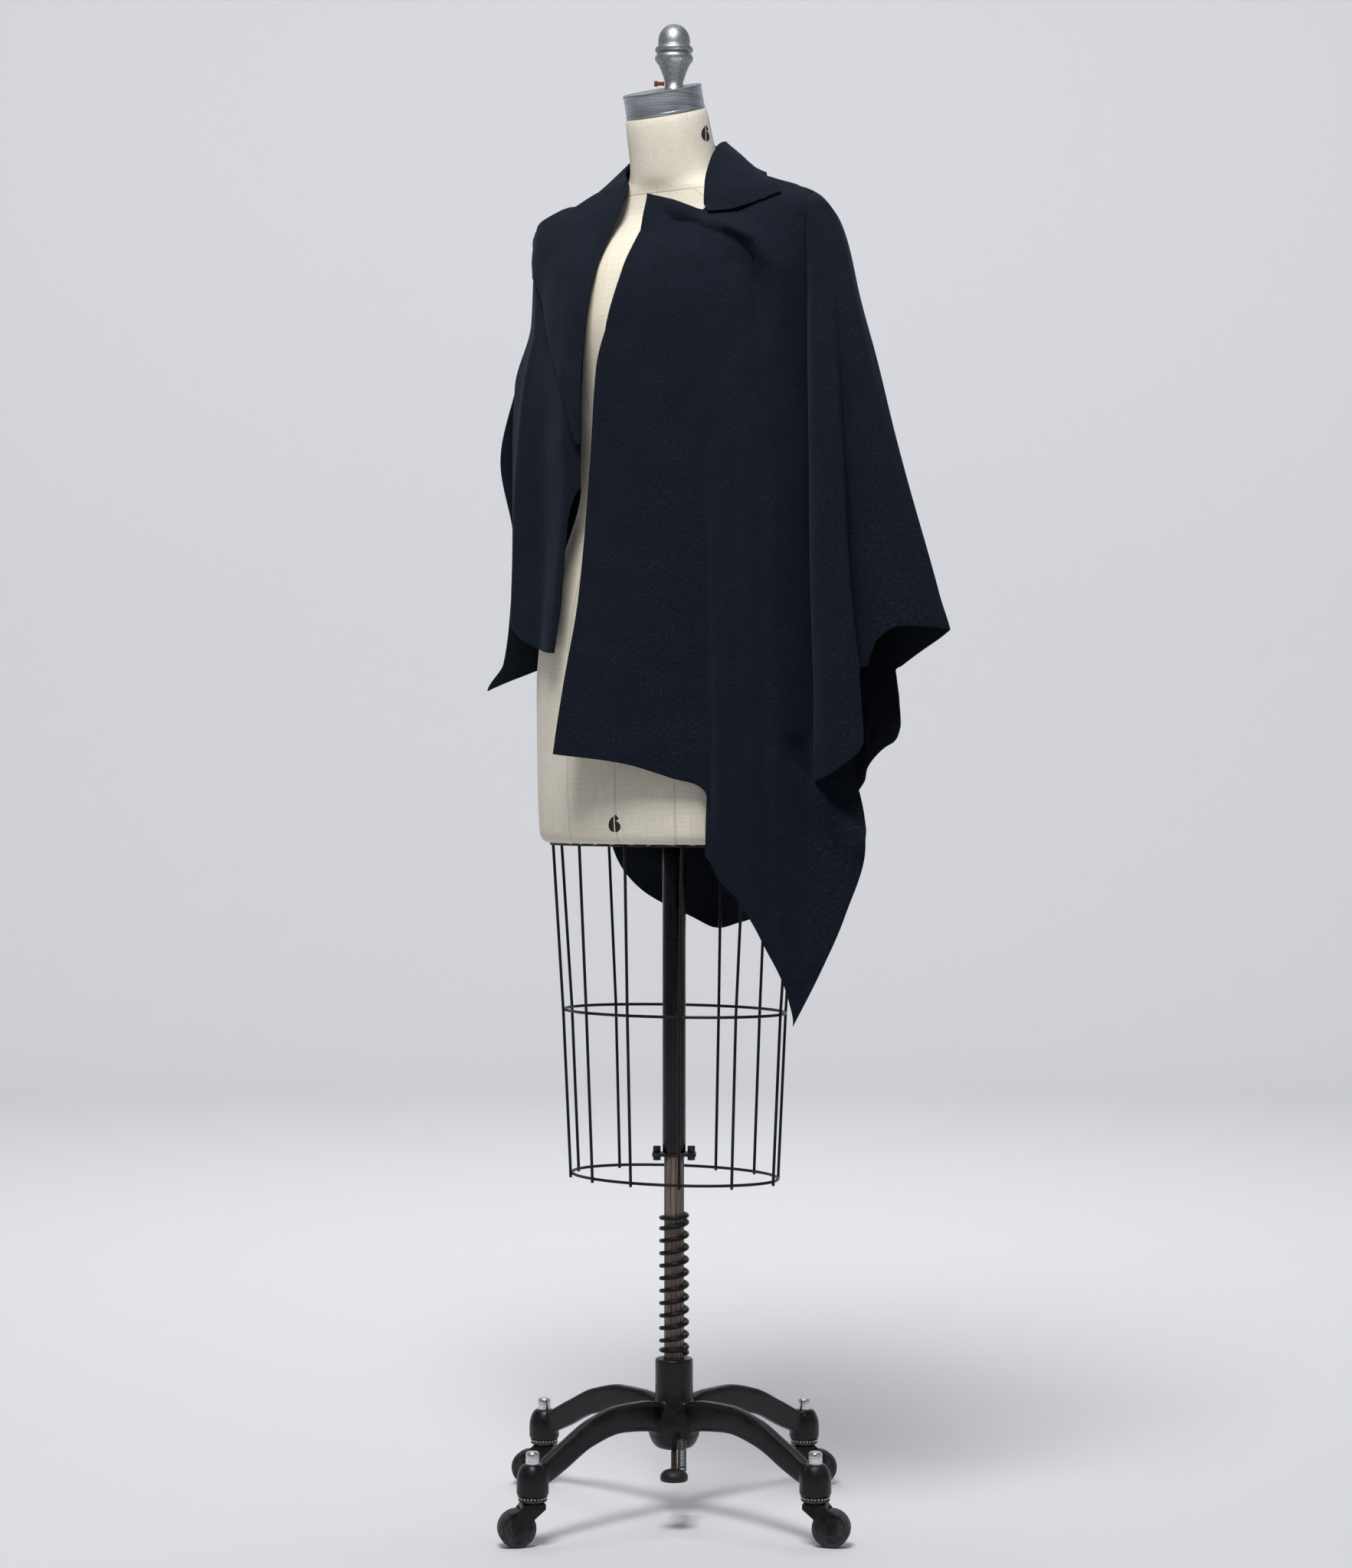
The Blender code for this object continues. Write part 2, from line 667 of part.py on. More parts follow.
# Each section row is a height, then (across, depth) on each line of the panel from its first edge to
# its last. Each end row is a line, the panel's top there and its hem there. Each fold is a path of
# (line, height), its width, and its depth at the start and at the end: below zero it sinks in.
LEFT_FRONT = {
    # lines: front edge, bust, first fold, ridge, second fold, third fold, side
    "sections": (
        (1565, (-31, -36), (2, -46), (36, -56), (66, -28), (102, -46), (132, -66), (138, -70)),
        (1530, (-31, -42), (0, -56), (35, -66), (68, -77), (114, -72), (140, -80), (146, -84)),
        (1503, (-37, -56), (-2, -76), (34, -79), (66, -96), (104, -111), (143, -112), (150, -108)),
        (1465, (-48, -72), (-6, -97), (30, -109), (64, -121), (98, -129), (144, -120), (154, -113)),
        (1395, (-70, -96), (-25, -126), (22, -136), (62, -141), (96, -142), (145, -122), (157, -114)),
        (1320, (-88, -100), (-32, -130), (17, -141), (62, -148), (95, -150), (145, -125), (158, -116)),
        (1210, (-95, -102), (-36, -134), (31, -147), (63, -155), (95, -158), (146, -128), (159, -118)),
        (1060, (-108, -105), (-43, -139), (35, -154), (65, -163), (95, -167), (147, -130), (160, -120)),
        (960, (-125, -108), (-50, -142), (37, -159), (66, -168), (98, -171), (150, -130), (165, -122)),
        (880, (-137, -111), (-56, -144), (38, -162), (67, -171), (100, -174), (153, -132), (194, -136)),
        (785, (-150, -115), (-60, -146), (35, -163), (67, -173), (103, -177), (155, -142), (215, -150)),
        (700, (-160, -118), (-64, -148), (32, -164), (70, -175), (106, -178), (150, -158), (190, -158)),
        (640, (-160, -118), (-64, -148), (32, -164), (72, -175), (108, -178), (140, -168), (163, -164)),
        (578, (-160, -118), (-64, -148), (32, -164), (74, -175), (112, -177), (130, -172), (137, -170)),
    ),
    "ends": (
        (0, 1529, 883), (1, 1517, 871), (1.6, 1508, 856), (1.95, 1503, 836), (2.15, 1508, 766),
        (2.5, 1538, 742), (3, 1563, 722), (3.5, 1551, 692), (4, 1537, 655), (5, 1522, 598), (6, 1520, 580),
    ),
    "folds": (
        (((2.0, 1330), (2.0, 836)), 15, (0, -7)),
        (((2.45, 1300), (2.45, 760)), 17, (0, 7)),
        (((4.0, 1260), (4.0, 700)), 9, (0, -7)),
        (((0.1, 1524), (1.5, 1496), (2.6, 1484), (3.4, 1478), (4.05, 1455), (4.3, 1400)), 9, (9, 5)),
        (((0.3, 1506), (1.7, 1477), (2.5, 1463), (3.3, 1458), (3.8, 1436), (4.05, 1392)), 8, (-6, -2)),
        (((5.0, 850), (5.5, 820), (6.0, 786)), 12, (4, 8)),
    ),
    "pitch": 48,
    "columns": spread(0, 6, 20, (1.95, 2.02, 2.08, 2.15)),
    "rows": 15,
}

LEFT_SLEEVE = {
    # lines: third fold, crest, lip, fourth fold, middle of the sleeve, overarm
    "sections": (
        (1530, (140, -82), (148, -89), (154, -94), (159, -98), (163, -101), (166, -104)),
        (1505, (145, -124), (153, -130), (161, -132), (168, -131), (173, -125), (173, -112)),
        (1465, (146, -133), (157, -143), (168, -148), (178, -146), (186, -140), (191, -123)),
        (1400, (147, -136), (161, -153), (175, -158), (183, -155), (197, -155), (208, -137)),
        (1320, (148, -139), (163, -161), (179, -167), (187, -160), (209, -168), (227, -152)),
        (1210, (148, -142), (167, -169), (185, -175), (194, -165), (225, -180), (253, -170)),
        (1100, (149, -144), (169, -175), (191, -181), (199, -168), (240, -189), (283, -183)),
        (1020, (151, -145), (172, -179), (198, -185), (206, -171), (250, -195), (304, -191)),
        (960, (154, -146), (174, -181), (205, -187), (211, -174), (250, -195), (304, -191)),
        (850, (160, -150), (178, -182), (215, -188), (219, -176), (250, -195), (304, -191)),
    ),
    "ends": (
        (0, 1524, 851), (1, 1521, 864), (1.55, 1520, 880), (1.95, 1519, 900), (2.1, 1519, 975),
        (3, 1517, 986), (3.4, 1516, 1010), (4, 1515, 1024), (4.6, 1514, 1023), (5, 1513, 1020),
    ),
    "folds": (
        (((3.0, 1400), (3.0, 980)), 9, (-2, -8)),
        (((4.2, 1440), (4.4, 1030)), 16, (0, 4)),
    ),
    "pitch": 32,
    "columns": spread(0, 5, 15, (1.9, 1.95, 2.1)),
    "rows": 12,
}

LEFT_BACK = {
    # lines: overarm, back of the sleeve, side, side back, shoulder blade, centre back
    "sections": (
        (1575, (165, -102), (150, -88), (125, -72), (90, -48), (64, -22), (34, 51)),
        (1540, (166, -101), (155, -90), (138, -70), (104, -40), (84, -8), (35, 53)),
        (1503, (173, -106), (170, -94), (162, -70), (144, -37), (107, 6), (39, 60)),
        (1465, (191, -119), (187, -104), (182, -72), (165, -33), (124, 22), (55, 84)),
        (1395, (208, -134), (204, -112), (197, -76), (182, -32), (139, 37), (67, 102)),
        (1320, (227, -149), (220, -122), (211, -82), (194, -36), (146, 39), (69, 105)),
        (1210, (253, -167), (242, -136), (227, -90), (206, -40), (154, 41), (71, 108)),
        (1060, (293, -184), (263, -151), (242, -100), (216, -45), (161, 43), (74, 112)),
        (1000, (308, -187), (270, -155), (246, -104), (218, -46), (165, 44), (76, 115)),
        (915, (308, -187), (274, -158), (255, -110), (219, -48), (170, 45), (78, 118)),
        (850, (308, -187), (274, -158), (255, -110), (212, -50), (172, 46), (80, 121)),
        (685, (308, -187), (274, -158), (255, -110), (205, -52), (172, 48), (83, 126)),
    ),
    "ends": (
        (0, 1513, 1020), (0.5, 1516, 1006), (1, 1520, 994), (1.7, 1529, 982), (2, 1533, 914),
        (2.4, 1540, 882), (3, 1552, 846), (4, 1569, 745), (4.5, 1573, 702), (5, 1577, 684),
    ),
    "folds": (
        (((2.5, 1380), (2.6, 860)), 16, (0, -14)),
        (((3.5, 1350), (3.6, 790)), 18, (0, 12)),
        (((4.5, 1300), (4.5, 700)), 16, (0, -10)),
    ),
    "pitch": 70,
    "columns": spread(0, 5, 15, (1.7, 4.5, 4.85)),
    "rows": 12,
}

RIGHT_BACK = {
    # lines: centre back, shoulder blade, side back, side, overarm
    "sections": (
        (1575, (34, 52), (-18, 66), (-48, 50), (-105, 82), (-160, 112)),
        (1535, (35, 54), (-24, 78), (-56, 82), (-108, 96), (-160, 115)),
        (1503, (38, 60), (-15, 90), (-56, 110), (-106, 125), (-162, 121)),
        (1465, (53, 85), (0, 113), (-56, 136), (-112, 146), (-165, 129)),
        (1395, (65, 103), (10, 130), (-58, 151), (-123, 160), (-168, 130)),
        (1320, (67, 106), (13, 135), (-56, 157), (-131, 167), (-191, 124)),
        (1236, (68, 108), (14, 137), (-55, 160), (-134, 170), (-208, 120)),
        (1138, (70, 110), (16, 140), (-54, 165), (-127, 172), (-192, 116)),
        (1060, (72, 112), (18, 143), (-54, 170), (-120, 175), (-196, 112)),
        (993, (74, 115), (20, 147), (-59, 172), (-114, 176), (-204, 106)),
        (958, (76, 116), (20, 149), (-61, 172), (-112, 176), (-223, 100)),
        (785, (80, 123), (19, 153), (-73, 167), (-112, 176), (-223, 100)),
        (680, (82, 126), (19, 151), (-73, 167), (-112, 176), (-223, 100)),
    ),
    "ends": (
        (0, 1577, 684), (0.5, 1573, 676), (1, 1570, 690), (1.5, 1567, 714), (2, 1563, 768),
        (2.5, 1550, 880), (3, 1536, 990), (3.5, 1524, 988), (3.75, 1518, 977), (4, 1512, 960),
    ),
    "folds": (
        (((0.6, 1330), (0.6, 700)), 17, (0, 12)),
        (((1.5, 1380), (1.5, 760)), 18, (0, -12)),
        (((3.0, 1400), (3.0, 1010)), 18, (0, 8)),
    ),
    "pitch": 68,
    "columns": spread(0, 4, 16),
    "rows": 12,
}

RIGHT_FRONT = {
    # lines: overarm, outer ridge, middle, inner ridge, edge under the lapel
    "sections": (
        (1560, (-160, 110), (-150, 103), (-125, 90), (-95, 74), (-60, 54)),
        (1530, (-161, 106), (-154, 94), (-132, 76), (-102, 54), (-66, 28)),
        (1503, (-162, 98), (-158, 74), (-140, 47), (-112, 18), (-75, -10)),
        (1465, (-166, 88), (-161, 50), (-142, 18), (-115, -16), (-88, -44)),
        (1395, (-169, 84), (-161, 40), (-142, 0), (-121, -50), (-98, -76)),
        (1320, (-188, 80), (-173, 38), (-150, -2), (-123, -56), (-105, -78)),
        (1250, (-190, 68), (-180, 34), (-152, -4), (-124, -58), (-107, -70)),
        (1190, (-190, 56), (-184, 30), (-154, -7), (-126, -59), (-107, -66)),
        (1117, (-190, 46), (-186, 24), (-156, -14), (-131, -62), (-107, -66)),
        (1035, (-190, 38), (-187, 16), (-160, -26), (-138, -64), (-107, -66)),
        (998, (-190, 36), (-187, 14), (-162, -30), (-143, -62), (-107, -66)),
    ),
    "ends": (
        (0, 1512, 1036), (1, 1517, 1030), (1.6, 1525, 1013), (2, 1531, 1005), (2.98, 1546, 999),
        (3.12, 1548, 1150), (3.5, 1554, 1178), (4, 1562, 1188),
    ),
    "folds": (
        (((1.0, 1440), (1.0, 1040)), 8, (2, 5)),
        (((2.0, 1380), (2.0, 1010)), 12, (0, -6)),
        (((3.0, 1330), (3.0, 1000)), 8, (1, 4)),
    ),
    "pitch": 38,
    "columns": spread(0, 4, 12, (3.04, 3.12)),
    "rows": 12,
}

# Collar rows run from the front end round to the back of the neck: the roll line, the middle of the
# fall and its outer edge, each as across, depth and height.
LEFT_COLLAR = (
    ((34, -86, 1503), (78, -108, 1510), (124, -100, 1526)),
    ((37, -76, 1518), (80, -103, 1520), (126, -92, 1532)),
    ((41, -62, 1541), (82, -90, 1535), (125, -76, 1540)),
    ((47, -44, 1568), (84, -62, 1556), (119, -54, 1546)),
    ((57, -20, 1590), (84, -34, 1569), (112, -28, 1549)),
    ((63, 10, 1597), (90, 6, 1571), (114, 10, 1533)),
    ((55, 38, 1600), (78, 44, 1573), (96, 46, 1528)),
    ((35, 53, 1600), (46, 71, 1573), (52, 80, 1524)),
)
RIGHT_LAPEL = (
    ((34.6, 53.3, 1600), (45.6, 71.4, 1573), (51.6, 80.4, 1524)),
    ((10, 62, 1599), (6, 84, 1573), (-4, 96, 1520)),
    ((-14, 66, 1595), (-26, 92, 1568), (-50, 112, 1510)),
    ((-38, 60, 1588), (-62, 92, 1562), (-104, 134, 1510)),
    ((-48, 44, 1583), (-94, 86, 1560), (-168, 130, 1520)),
    ((-46, 12, 1566), (-98, 66, 1552), (-174, 108, 1521)),
    ((-52, -12, 1540), (-106, 28, 1530), (-174, 86, 1506)),
    ((-67, -34, 1500), (-113, 0, 1496), (-172, 66, 1484)),
    ((-79, -50, 1467), (-118, -18, 1466), (-162, 52, 1464)),
    ((-91, -72, 1430), (-122, -42, 1436), (-156, 34, 1448)),
    ((-98, -86, 1395), (-124, -54, 1400), (-151, 8, 1404)),
    ((-103, -90, 1342), (-122, -66, 1350), (-143, -22, 1352)),
    ((-106, -88, 1305), (-117, -72, 1304), (-128, -56, 1303)),
    ((-106, -82, 1262), (-113, -76, 1263), (-120, -68, 1265)),
    ((-106, -78, 1236), (-109, -76, 1237), (-112, -74, 1238)),
)


def make_fall(name, rows, along, across, form, panels, surface, parts):
    """Cloth wall through collar rows, lying on the panels under it."""
    numbers = range(len(rows))
    points = []
    for step in range(along + 1):
        place = (len(rows) - 1) * step / along
        spots = [
            [smooth(numbers, [row[k][axis] for row in rows], place) for axis in range(3)] for k in range(3)
        ]
        for side in range(across + 1):
            t = 2.0 * side / across
            spot = seen(*(smooth((0, 1, 2), [row[axis] for row in spots], t) for axis in range(3)))
            spot = rest_on(spot, form, CLOTH_OFF_FORM)
            for panel in panels:
                spot = rest_on(spot, panel, FALL_OFF_PANEL)
            points.append(spot)
    faces = []
    for step in range(along):
        for side in range(across):
            a = step * (across + 1) + side
            faces.append((a, a + 1, a + across + 2, a + across + 1))
    make_wall(name, points, faces, surface, parts)


def make_jacket(parts, dress_form):
    wool = material("navy_wool", (0.012, 0.016, 0.028), 0.95)
    mesh = dress_form.data
    form = BVHTree.FromPolygons(
        [vert.co.copy() for vert in mesh.vertices], [tuple(face.vertices) for face in mesh.polygons]
    )
    left_back, back_grid = make_panel("left_back", LEFT_BACK, form, wool, parts)
    shoulder = edge_of(back_grid, "top")
    overarm = edge_of(back_grid, "first")
    seams = [
        ("top", shoulder, ((0.4, 0), (1.4, 0.75), (1.8, 0.75), (3.9, 0))),
        ("last", overarm, ((0, 0), (3, 1))),
    ]
    left_sleeve, _ = make_panel("left_sleeve", LEFT_SLEEVE, form, wool, parts, seams)
    seams = [("top", shoulder, ((2.9, 0), (3.0, 1), (4.0, 1), (5.2, 0)))]
    left_front, _ = make_panel("left_front", LEFT_FRONT, form, wool, parts, seams)

    seams = [("first", edge_of(back_grid, "last"), ((0, 1),))]
    right_back, back_grid = make_panel("right_back", RIGHT_BACK, form, wool, parts, seams)
    seams = [("top", edge_of(back_grid, "top"), ((0, 1), (4, 1)))]
    right_front, _ = make_panel("right_front", RIGHT_FRONT, form, wool, parts, seams)

    under_collar = (left_front, left_sleeve, left_back)
    make_fall("left_collar", LEFT_COLLAR, 12, 5, form, under_collar, wool, parts)
    make_fall("right_lapel", RIGHT_LAPEL, 20, 5, form, (right_back, right_front), wool, parts)


def main():
    for old in list(bpy.data.objects):
        bpy.data.objects.remove(old)
    parts = new_collection(COLLECTION)
    cutters = new_collection("cutters")
    dress_form, cap_middle, up, cast = make_form(parts)
    make_finial(parts, cap_middle, up, cast)
    make_column(parts, cutters)
    make_spring(parts)
    make_base(parts, cutters)
    make_casters(parts, cutters)
    make_pedal(parts)
    make_cage(parts)
    make_jacket(parts, dress_form)


main()
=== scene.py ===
"""Finish of an asymmetric wool jacket, the dress form it hangs on and the caster stand below.

Tables are in millimetres and heights are above the floor. Across and depth are counted from the pole,
as somebody facing the jacket's open corner sees them: to their right, and away from them.
"""

from math import cos, pi, radians, sin

import bmesh
import bpy
import numpy as np
from mathutils import Matrix, Vector, noise
from mathutils.bvhtree import BVHTree


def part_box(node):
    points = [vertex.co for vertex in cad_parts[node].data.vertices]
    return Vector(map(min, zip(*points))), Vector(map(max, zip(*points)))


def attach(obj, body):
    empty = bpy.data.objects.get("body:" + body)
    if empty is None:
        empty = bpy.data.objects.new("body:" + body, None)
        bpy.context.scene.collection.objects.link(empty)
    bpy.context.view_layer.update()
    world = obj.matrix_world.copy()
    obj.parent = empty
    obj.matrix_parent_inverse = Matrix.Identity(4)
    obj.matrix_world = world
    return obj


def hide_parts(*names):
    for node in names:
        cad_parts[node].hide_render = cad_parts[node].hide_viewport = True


bl_info = {
    "name": "Draped asymmetric jacket",
    "version": (1, 0, 0),
    "blender": (4, 5, 0),
    "location": "View3D > Sidebar > Jacket",
    "description": "Wool jacket with one batwing sleeve on a dress form with a caster stand",
    "category": "Add Mesh",
}

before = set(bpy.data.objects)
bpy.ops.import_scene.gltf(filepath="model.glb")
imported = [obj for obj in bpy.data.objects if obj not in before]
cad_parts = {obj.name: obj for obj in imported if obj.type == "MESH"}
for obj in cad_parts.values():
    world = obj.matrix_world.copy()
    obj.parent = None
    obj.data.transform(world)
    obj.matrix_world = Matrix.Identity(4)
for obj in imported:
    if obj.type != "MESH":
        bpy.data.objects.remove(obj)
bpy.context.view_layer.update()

MM = 0.001
SEEN_FROM = radians(33.4)                 # how far round from the form's front the viewer stands
POLE_LOW, POLE_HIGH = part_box("pole")
POLE_AT = Vector(((POLE_LOW[0] + POLE_HIGH[0]) / 2, (POLE_LOW[1] + POLE_HIGH[1]) / 2, 0.0))

# Dress form
NECK_LEAN = radians(17.4)
FORM_SIDES = 120
# height, half width, half depth, how far forward of the pole, lean in degrees
FORM_RINGS = (
    (781, 163, 110, 0, 0), (782, 166.5, 113, 0, 0), (785, 170, 116, 0, 0), (792, 172.5, 118, 0, 0),
    (860, 175, 122, 0, 0), (960, 176, 123, 0, 0), (1040, 168, 118, 0, 0), (1120, 138, 102, 0, 0),
    (1195, 115, 93, 0, 0), (1270, 129, 101, 2, 0), (1370, 150, 115, 4, 0), (1430, 160, 104, 1, 0),
    (1470, 178, 82, -4, 0), (1492, 193, 62, -8, 0), (1503, 194, 50, -8, 0), (1518, 160, 46, -9, 1),
    (1534, 115, 46, -10, 3), (1547, 76, 49, -10, 8), (1557, 60, 50, -7, 13), (1580, 52, 47, 3, 17.4),
    (1624.4, 49, 43, 16.6, 17.4), (1626, 48.3, 42.3, 17, 17.4),
)
BOARD_RINGS = ((778.0, 159, 107, 0, 0), (778.6, 160, 108, 0, 0), (780.6, 160, 108, 0, 0))
CAP_FOOT = (1626.3, 17.5)                 # height of the neck cap's foot, and how far forward it is
CAP_HALF = (48, 42)
# turns round the form from its left side, by the back: the sides, the two centres and the princess seams
LINEN_SEAMS = (0.0, 0.181, 0.25, 0.319, 0.5, 0.681, 0.75, 0.819, 1.0)
# rise along the cap's lean and how much narrower it is there: foot bead, wall, top bead, dished top
CAP_PROFILE = (
    (0, 0.9), (0.3, 0.3), (1.0, 0.0), (3.0, 0.0), (3.5, 0.5), (23.6, 0.6), (24.2, 0.2), (25.6, 0.0),
    (26.9, 0.4), (27.5, 1.4), (27.2, 4.5), (26.9, 12.0),
)
# stencilled digits: growth of the type, width and bridge as shares of the height, relief, middle's height
DIGIT_BOLD, DIGIT_WIDTH, DIGIT_BRIDGE, DIGIT_RELIEF, DIGIT_OFF = 0.085, 0.82, 0.09, 0.24, 0.16
PIN_HEAD, PIN_OFF = 1.3, 0.9              # radius of the pin's head, and its middle's height over the linen


def seen(across, depth, height=0.0):
    """Point of the part, in metres, from what the viewer sees, in millimetres."""
    turned = Matrix.Rotation(SEEN_FROM, 3, "Z") @ Vector((across, depth, height))
    return turned * MM + POLE_AT


def on_pole(height=0.0):
    """Point on the pole's axis, in metres."""
    return POLE_AT + Vector((0.0, 0.0, height))


def smooth(xs, ys, x):
    """Smooth line through a table's rows that never overshoots them, read at each value of x."""
    xs, ys, x = np.asarray(xs, float), np.asarray(ys, float), np.atleast_1d(np.asarray(x, float))
    if xs[0] > xs[-1]:
        xs, ys = xs[::-1], ys[::-1]
    x = np.clip(x, xs[0], xs[-1])
    spare = (1,) * (ys.ndim - 1)
    step = np.diff(xs).reshape((-1,) + spare)
    slope = np.diff(ys, axis=0) / step
    bend = np.zeros_like(ys)
    bend[0], bend[-1] = slope[0], slope[-1]
    heavy, light = 2 * step[1:] + step[:-1], step[1:] + 2 * step[:-1]
    same_way = slope[:-1] * slope[1:] > 0
    before, after = np.where(same_way, slope[:-1], 1.0), np.where(same_way, slope[1:], 1.0)
    bend[1:-1] = np.where(same_way, (heavy + light) / (heavy / before + light / after), 0.0)
    k = np.clip(np.searchsorted(xs, x) - 1, 0, len(xs) - 2)
    run = step[k]
    t = (x - xs[k]).reshape((-1,) + spare) / run
    return (
        (1 + 2 * t) * (1 - t) ** 2 * ys[k] + t * (1 - t) ** 2 * run * bend[k]
        + t * t * (3 - 2 * t) * ys[k + 1] + t * t * (t - 1) * run * bend[k + 1]
    )


# Materials
def linear(hex_colour):
    """Linear colour with alpha from an sRGB hex value."""
    parts = [int(hex_colour[k:k + 2], 16) / 255 for k in (1, 3, 5)]
    return [p / 12.92 if p <= 0.04045 else ((p + 0.055) / 1.055) ** 2.4 for p in parts] + [1.0]


def add_node(tree, kind, settings=None, links=None):
    """Node of a kind: settings name its properties or its inputs, links name the inputs fed by a socket."""
    node = tree.nodes.new(kind)
    for key, value in (settings or {}).items():
        if isinstance(key, str) and hasattr(node, key):
            setattr(node, key, value)
        else:
            node.inputs[key].default_value = value
    for key, source in (links or {}).items():
        tree.links.new(source, node.inputs[key])
    return node


def new_material(name, **settings):
    """Material with its tree and its shader, whose own sockets take the settings."""
    made = bpy.data.materials.new(name)
    made.use_nodes = True
    shader = made.node_tree.nodes["Principled BSDF"]
    for key, value in settings.items():
        shader.inputs[key.replace("_", " ").title().replace("Ior", "IOR")].default_value = value
    return made, made.node_tree, shader


def surfaced(made, colour, height, strength, relief):
    """Material with its colour and its fine relief, in metres, joined to the shader."""
    tree = made.node_tree
    shader = tree.nodes["Principled BSDF"]
    bump = add_node(tree, "ShaderNodeBump", {"Strength": strength, "Distance": relief}, {"Height": height})
    tree.links.new(colour, shader.inputs["Base Color"])
    tree.links.new(bump.outputs["Normal"], shader.inputs["Normal"])
    return made


def ramp(tree, source, *stops):
    """Colour ramp over a source: each stop is a place from 0 to 1 and a hex colour."""
    made = add_node(tree, "ShaderNodeValToRGB", None, {"Fac": source})
    elements = made.color_ramp.elements
    while len(elements) < len(stops):
        elements.new(0.5)
    for element, (place, colour) in zip(elements, stops):
        element.position = place
        element.color = linear(colour)
    return made.outputs["Color"]


def wool_flannel(name, shade, light, sheen):
    """Milled wool flannel: woven, then brushed, so the twill is nearly hidden by a short matt nap.

    The eye gets a dark ground, a mottle of lighter fibres two or three millimetres across and a soft
    bluish bloom where the nap turns edge-on. The real yarns stand 0.6 mm apart, too fine to show here,
    so the twill's ridges are drawn 3.2 mm apart.
    """
    made, tree, _ = new_material(
        name, roughness=0.95, specular_ior_level=0.12, sheen_weight=sheen, sheen_roughness=0.5,
        sheen_tint=linear("#8294B4"),
    )
    place = add_node(tree, "ShaderNodeUVMap", {"uv_map": "cloth"}).outputs["UV"]
    nap = add_node(
        tree, "ShaderNodeTexNoise", {"Scale": 420.0, "Detail": 4.0, "Roughness": 0.62}, {"Vector": place}
    )
    drawn = add_node(tree, "ShaderNodeMapping", {"Scale": (1.0, 0.28, 1.0)}, {"Vector": place})
    brushed = add_node(
        tree, "ShaderNodeTexNoise", {"Scale": 950.0, "Detail": 2.0, "Roughness": 0.55},
        {"Vector": drawn.outputs["Vector"]},
    )
    broad = add_node(tree, "ShaderNodeTexNoise", {"Scale": 22.0, "Detail": 3.0}, {"Vector": place})
    slant = add_node(tree, "ShaderNodeMapping", {"Rotation": (0.0, 0.0, radians(63))}, {"Vector": place})
    twill = add_node(
        tree, "ShaderNodeTexWave", {"Scale": 98.0, "Distortion": 1.4, "Detail": 1.0, "Detail Scale": 6.0},
        {"Vector": slant.outputs["Vector"]},
    )
    fibres = add_node(
        tree, "ShaderNodeMix", {"data_type": "FLOAT", "Factor": 0.45},
        {"A": nap.outputs["Fac"], "B": brushed.outputs["Fac"]},
    )
    mottle = add_node(
        tree, "ShaderNodeMix", {"data_type": "FLOAT", "Factor": 0.12},
        {"A": fibres.outputs["Result"], "B": broad.outputs["Fac"]},
    )
    colour = ramp(tree, mottle.outputs["Result"], (0.38, shade), (0.52, "#10151F"), (0.66, light))
    ground = add_node(
        tree, "ShaderNodeMix", {"data_type": "FLOAT", "Factor": 0.3},
        {"A": fibres.outputs["Result"], "B": twill.outputs["Fac"]},
    )
    return surfaced(made, colour, ground.outputs["Result"], 0.3, 0.0007)


def stitched_line(tree, off, core, edge):
    """Mask of a seam line from how far off it a spot is: whole within the core, gone at the edge."""
    near = add_node(tree, "ShaderNodeMath", {"operation": "ABSOLUTE"}, {0: off})
    return add_node(
        tree, "ShaderNodeMapRange", {"From Min": core, "From Max": edge, "To Min": 1.0, "To Max": 0.0},
        {"Value": near.outputs[0]},
    ).outputs[0]


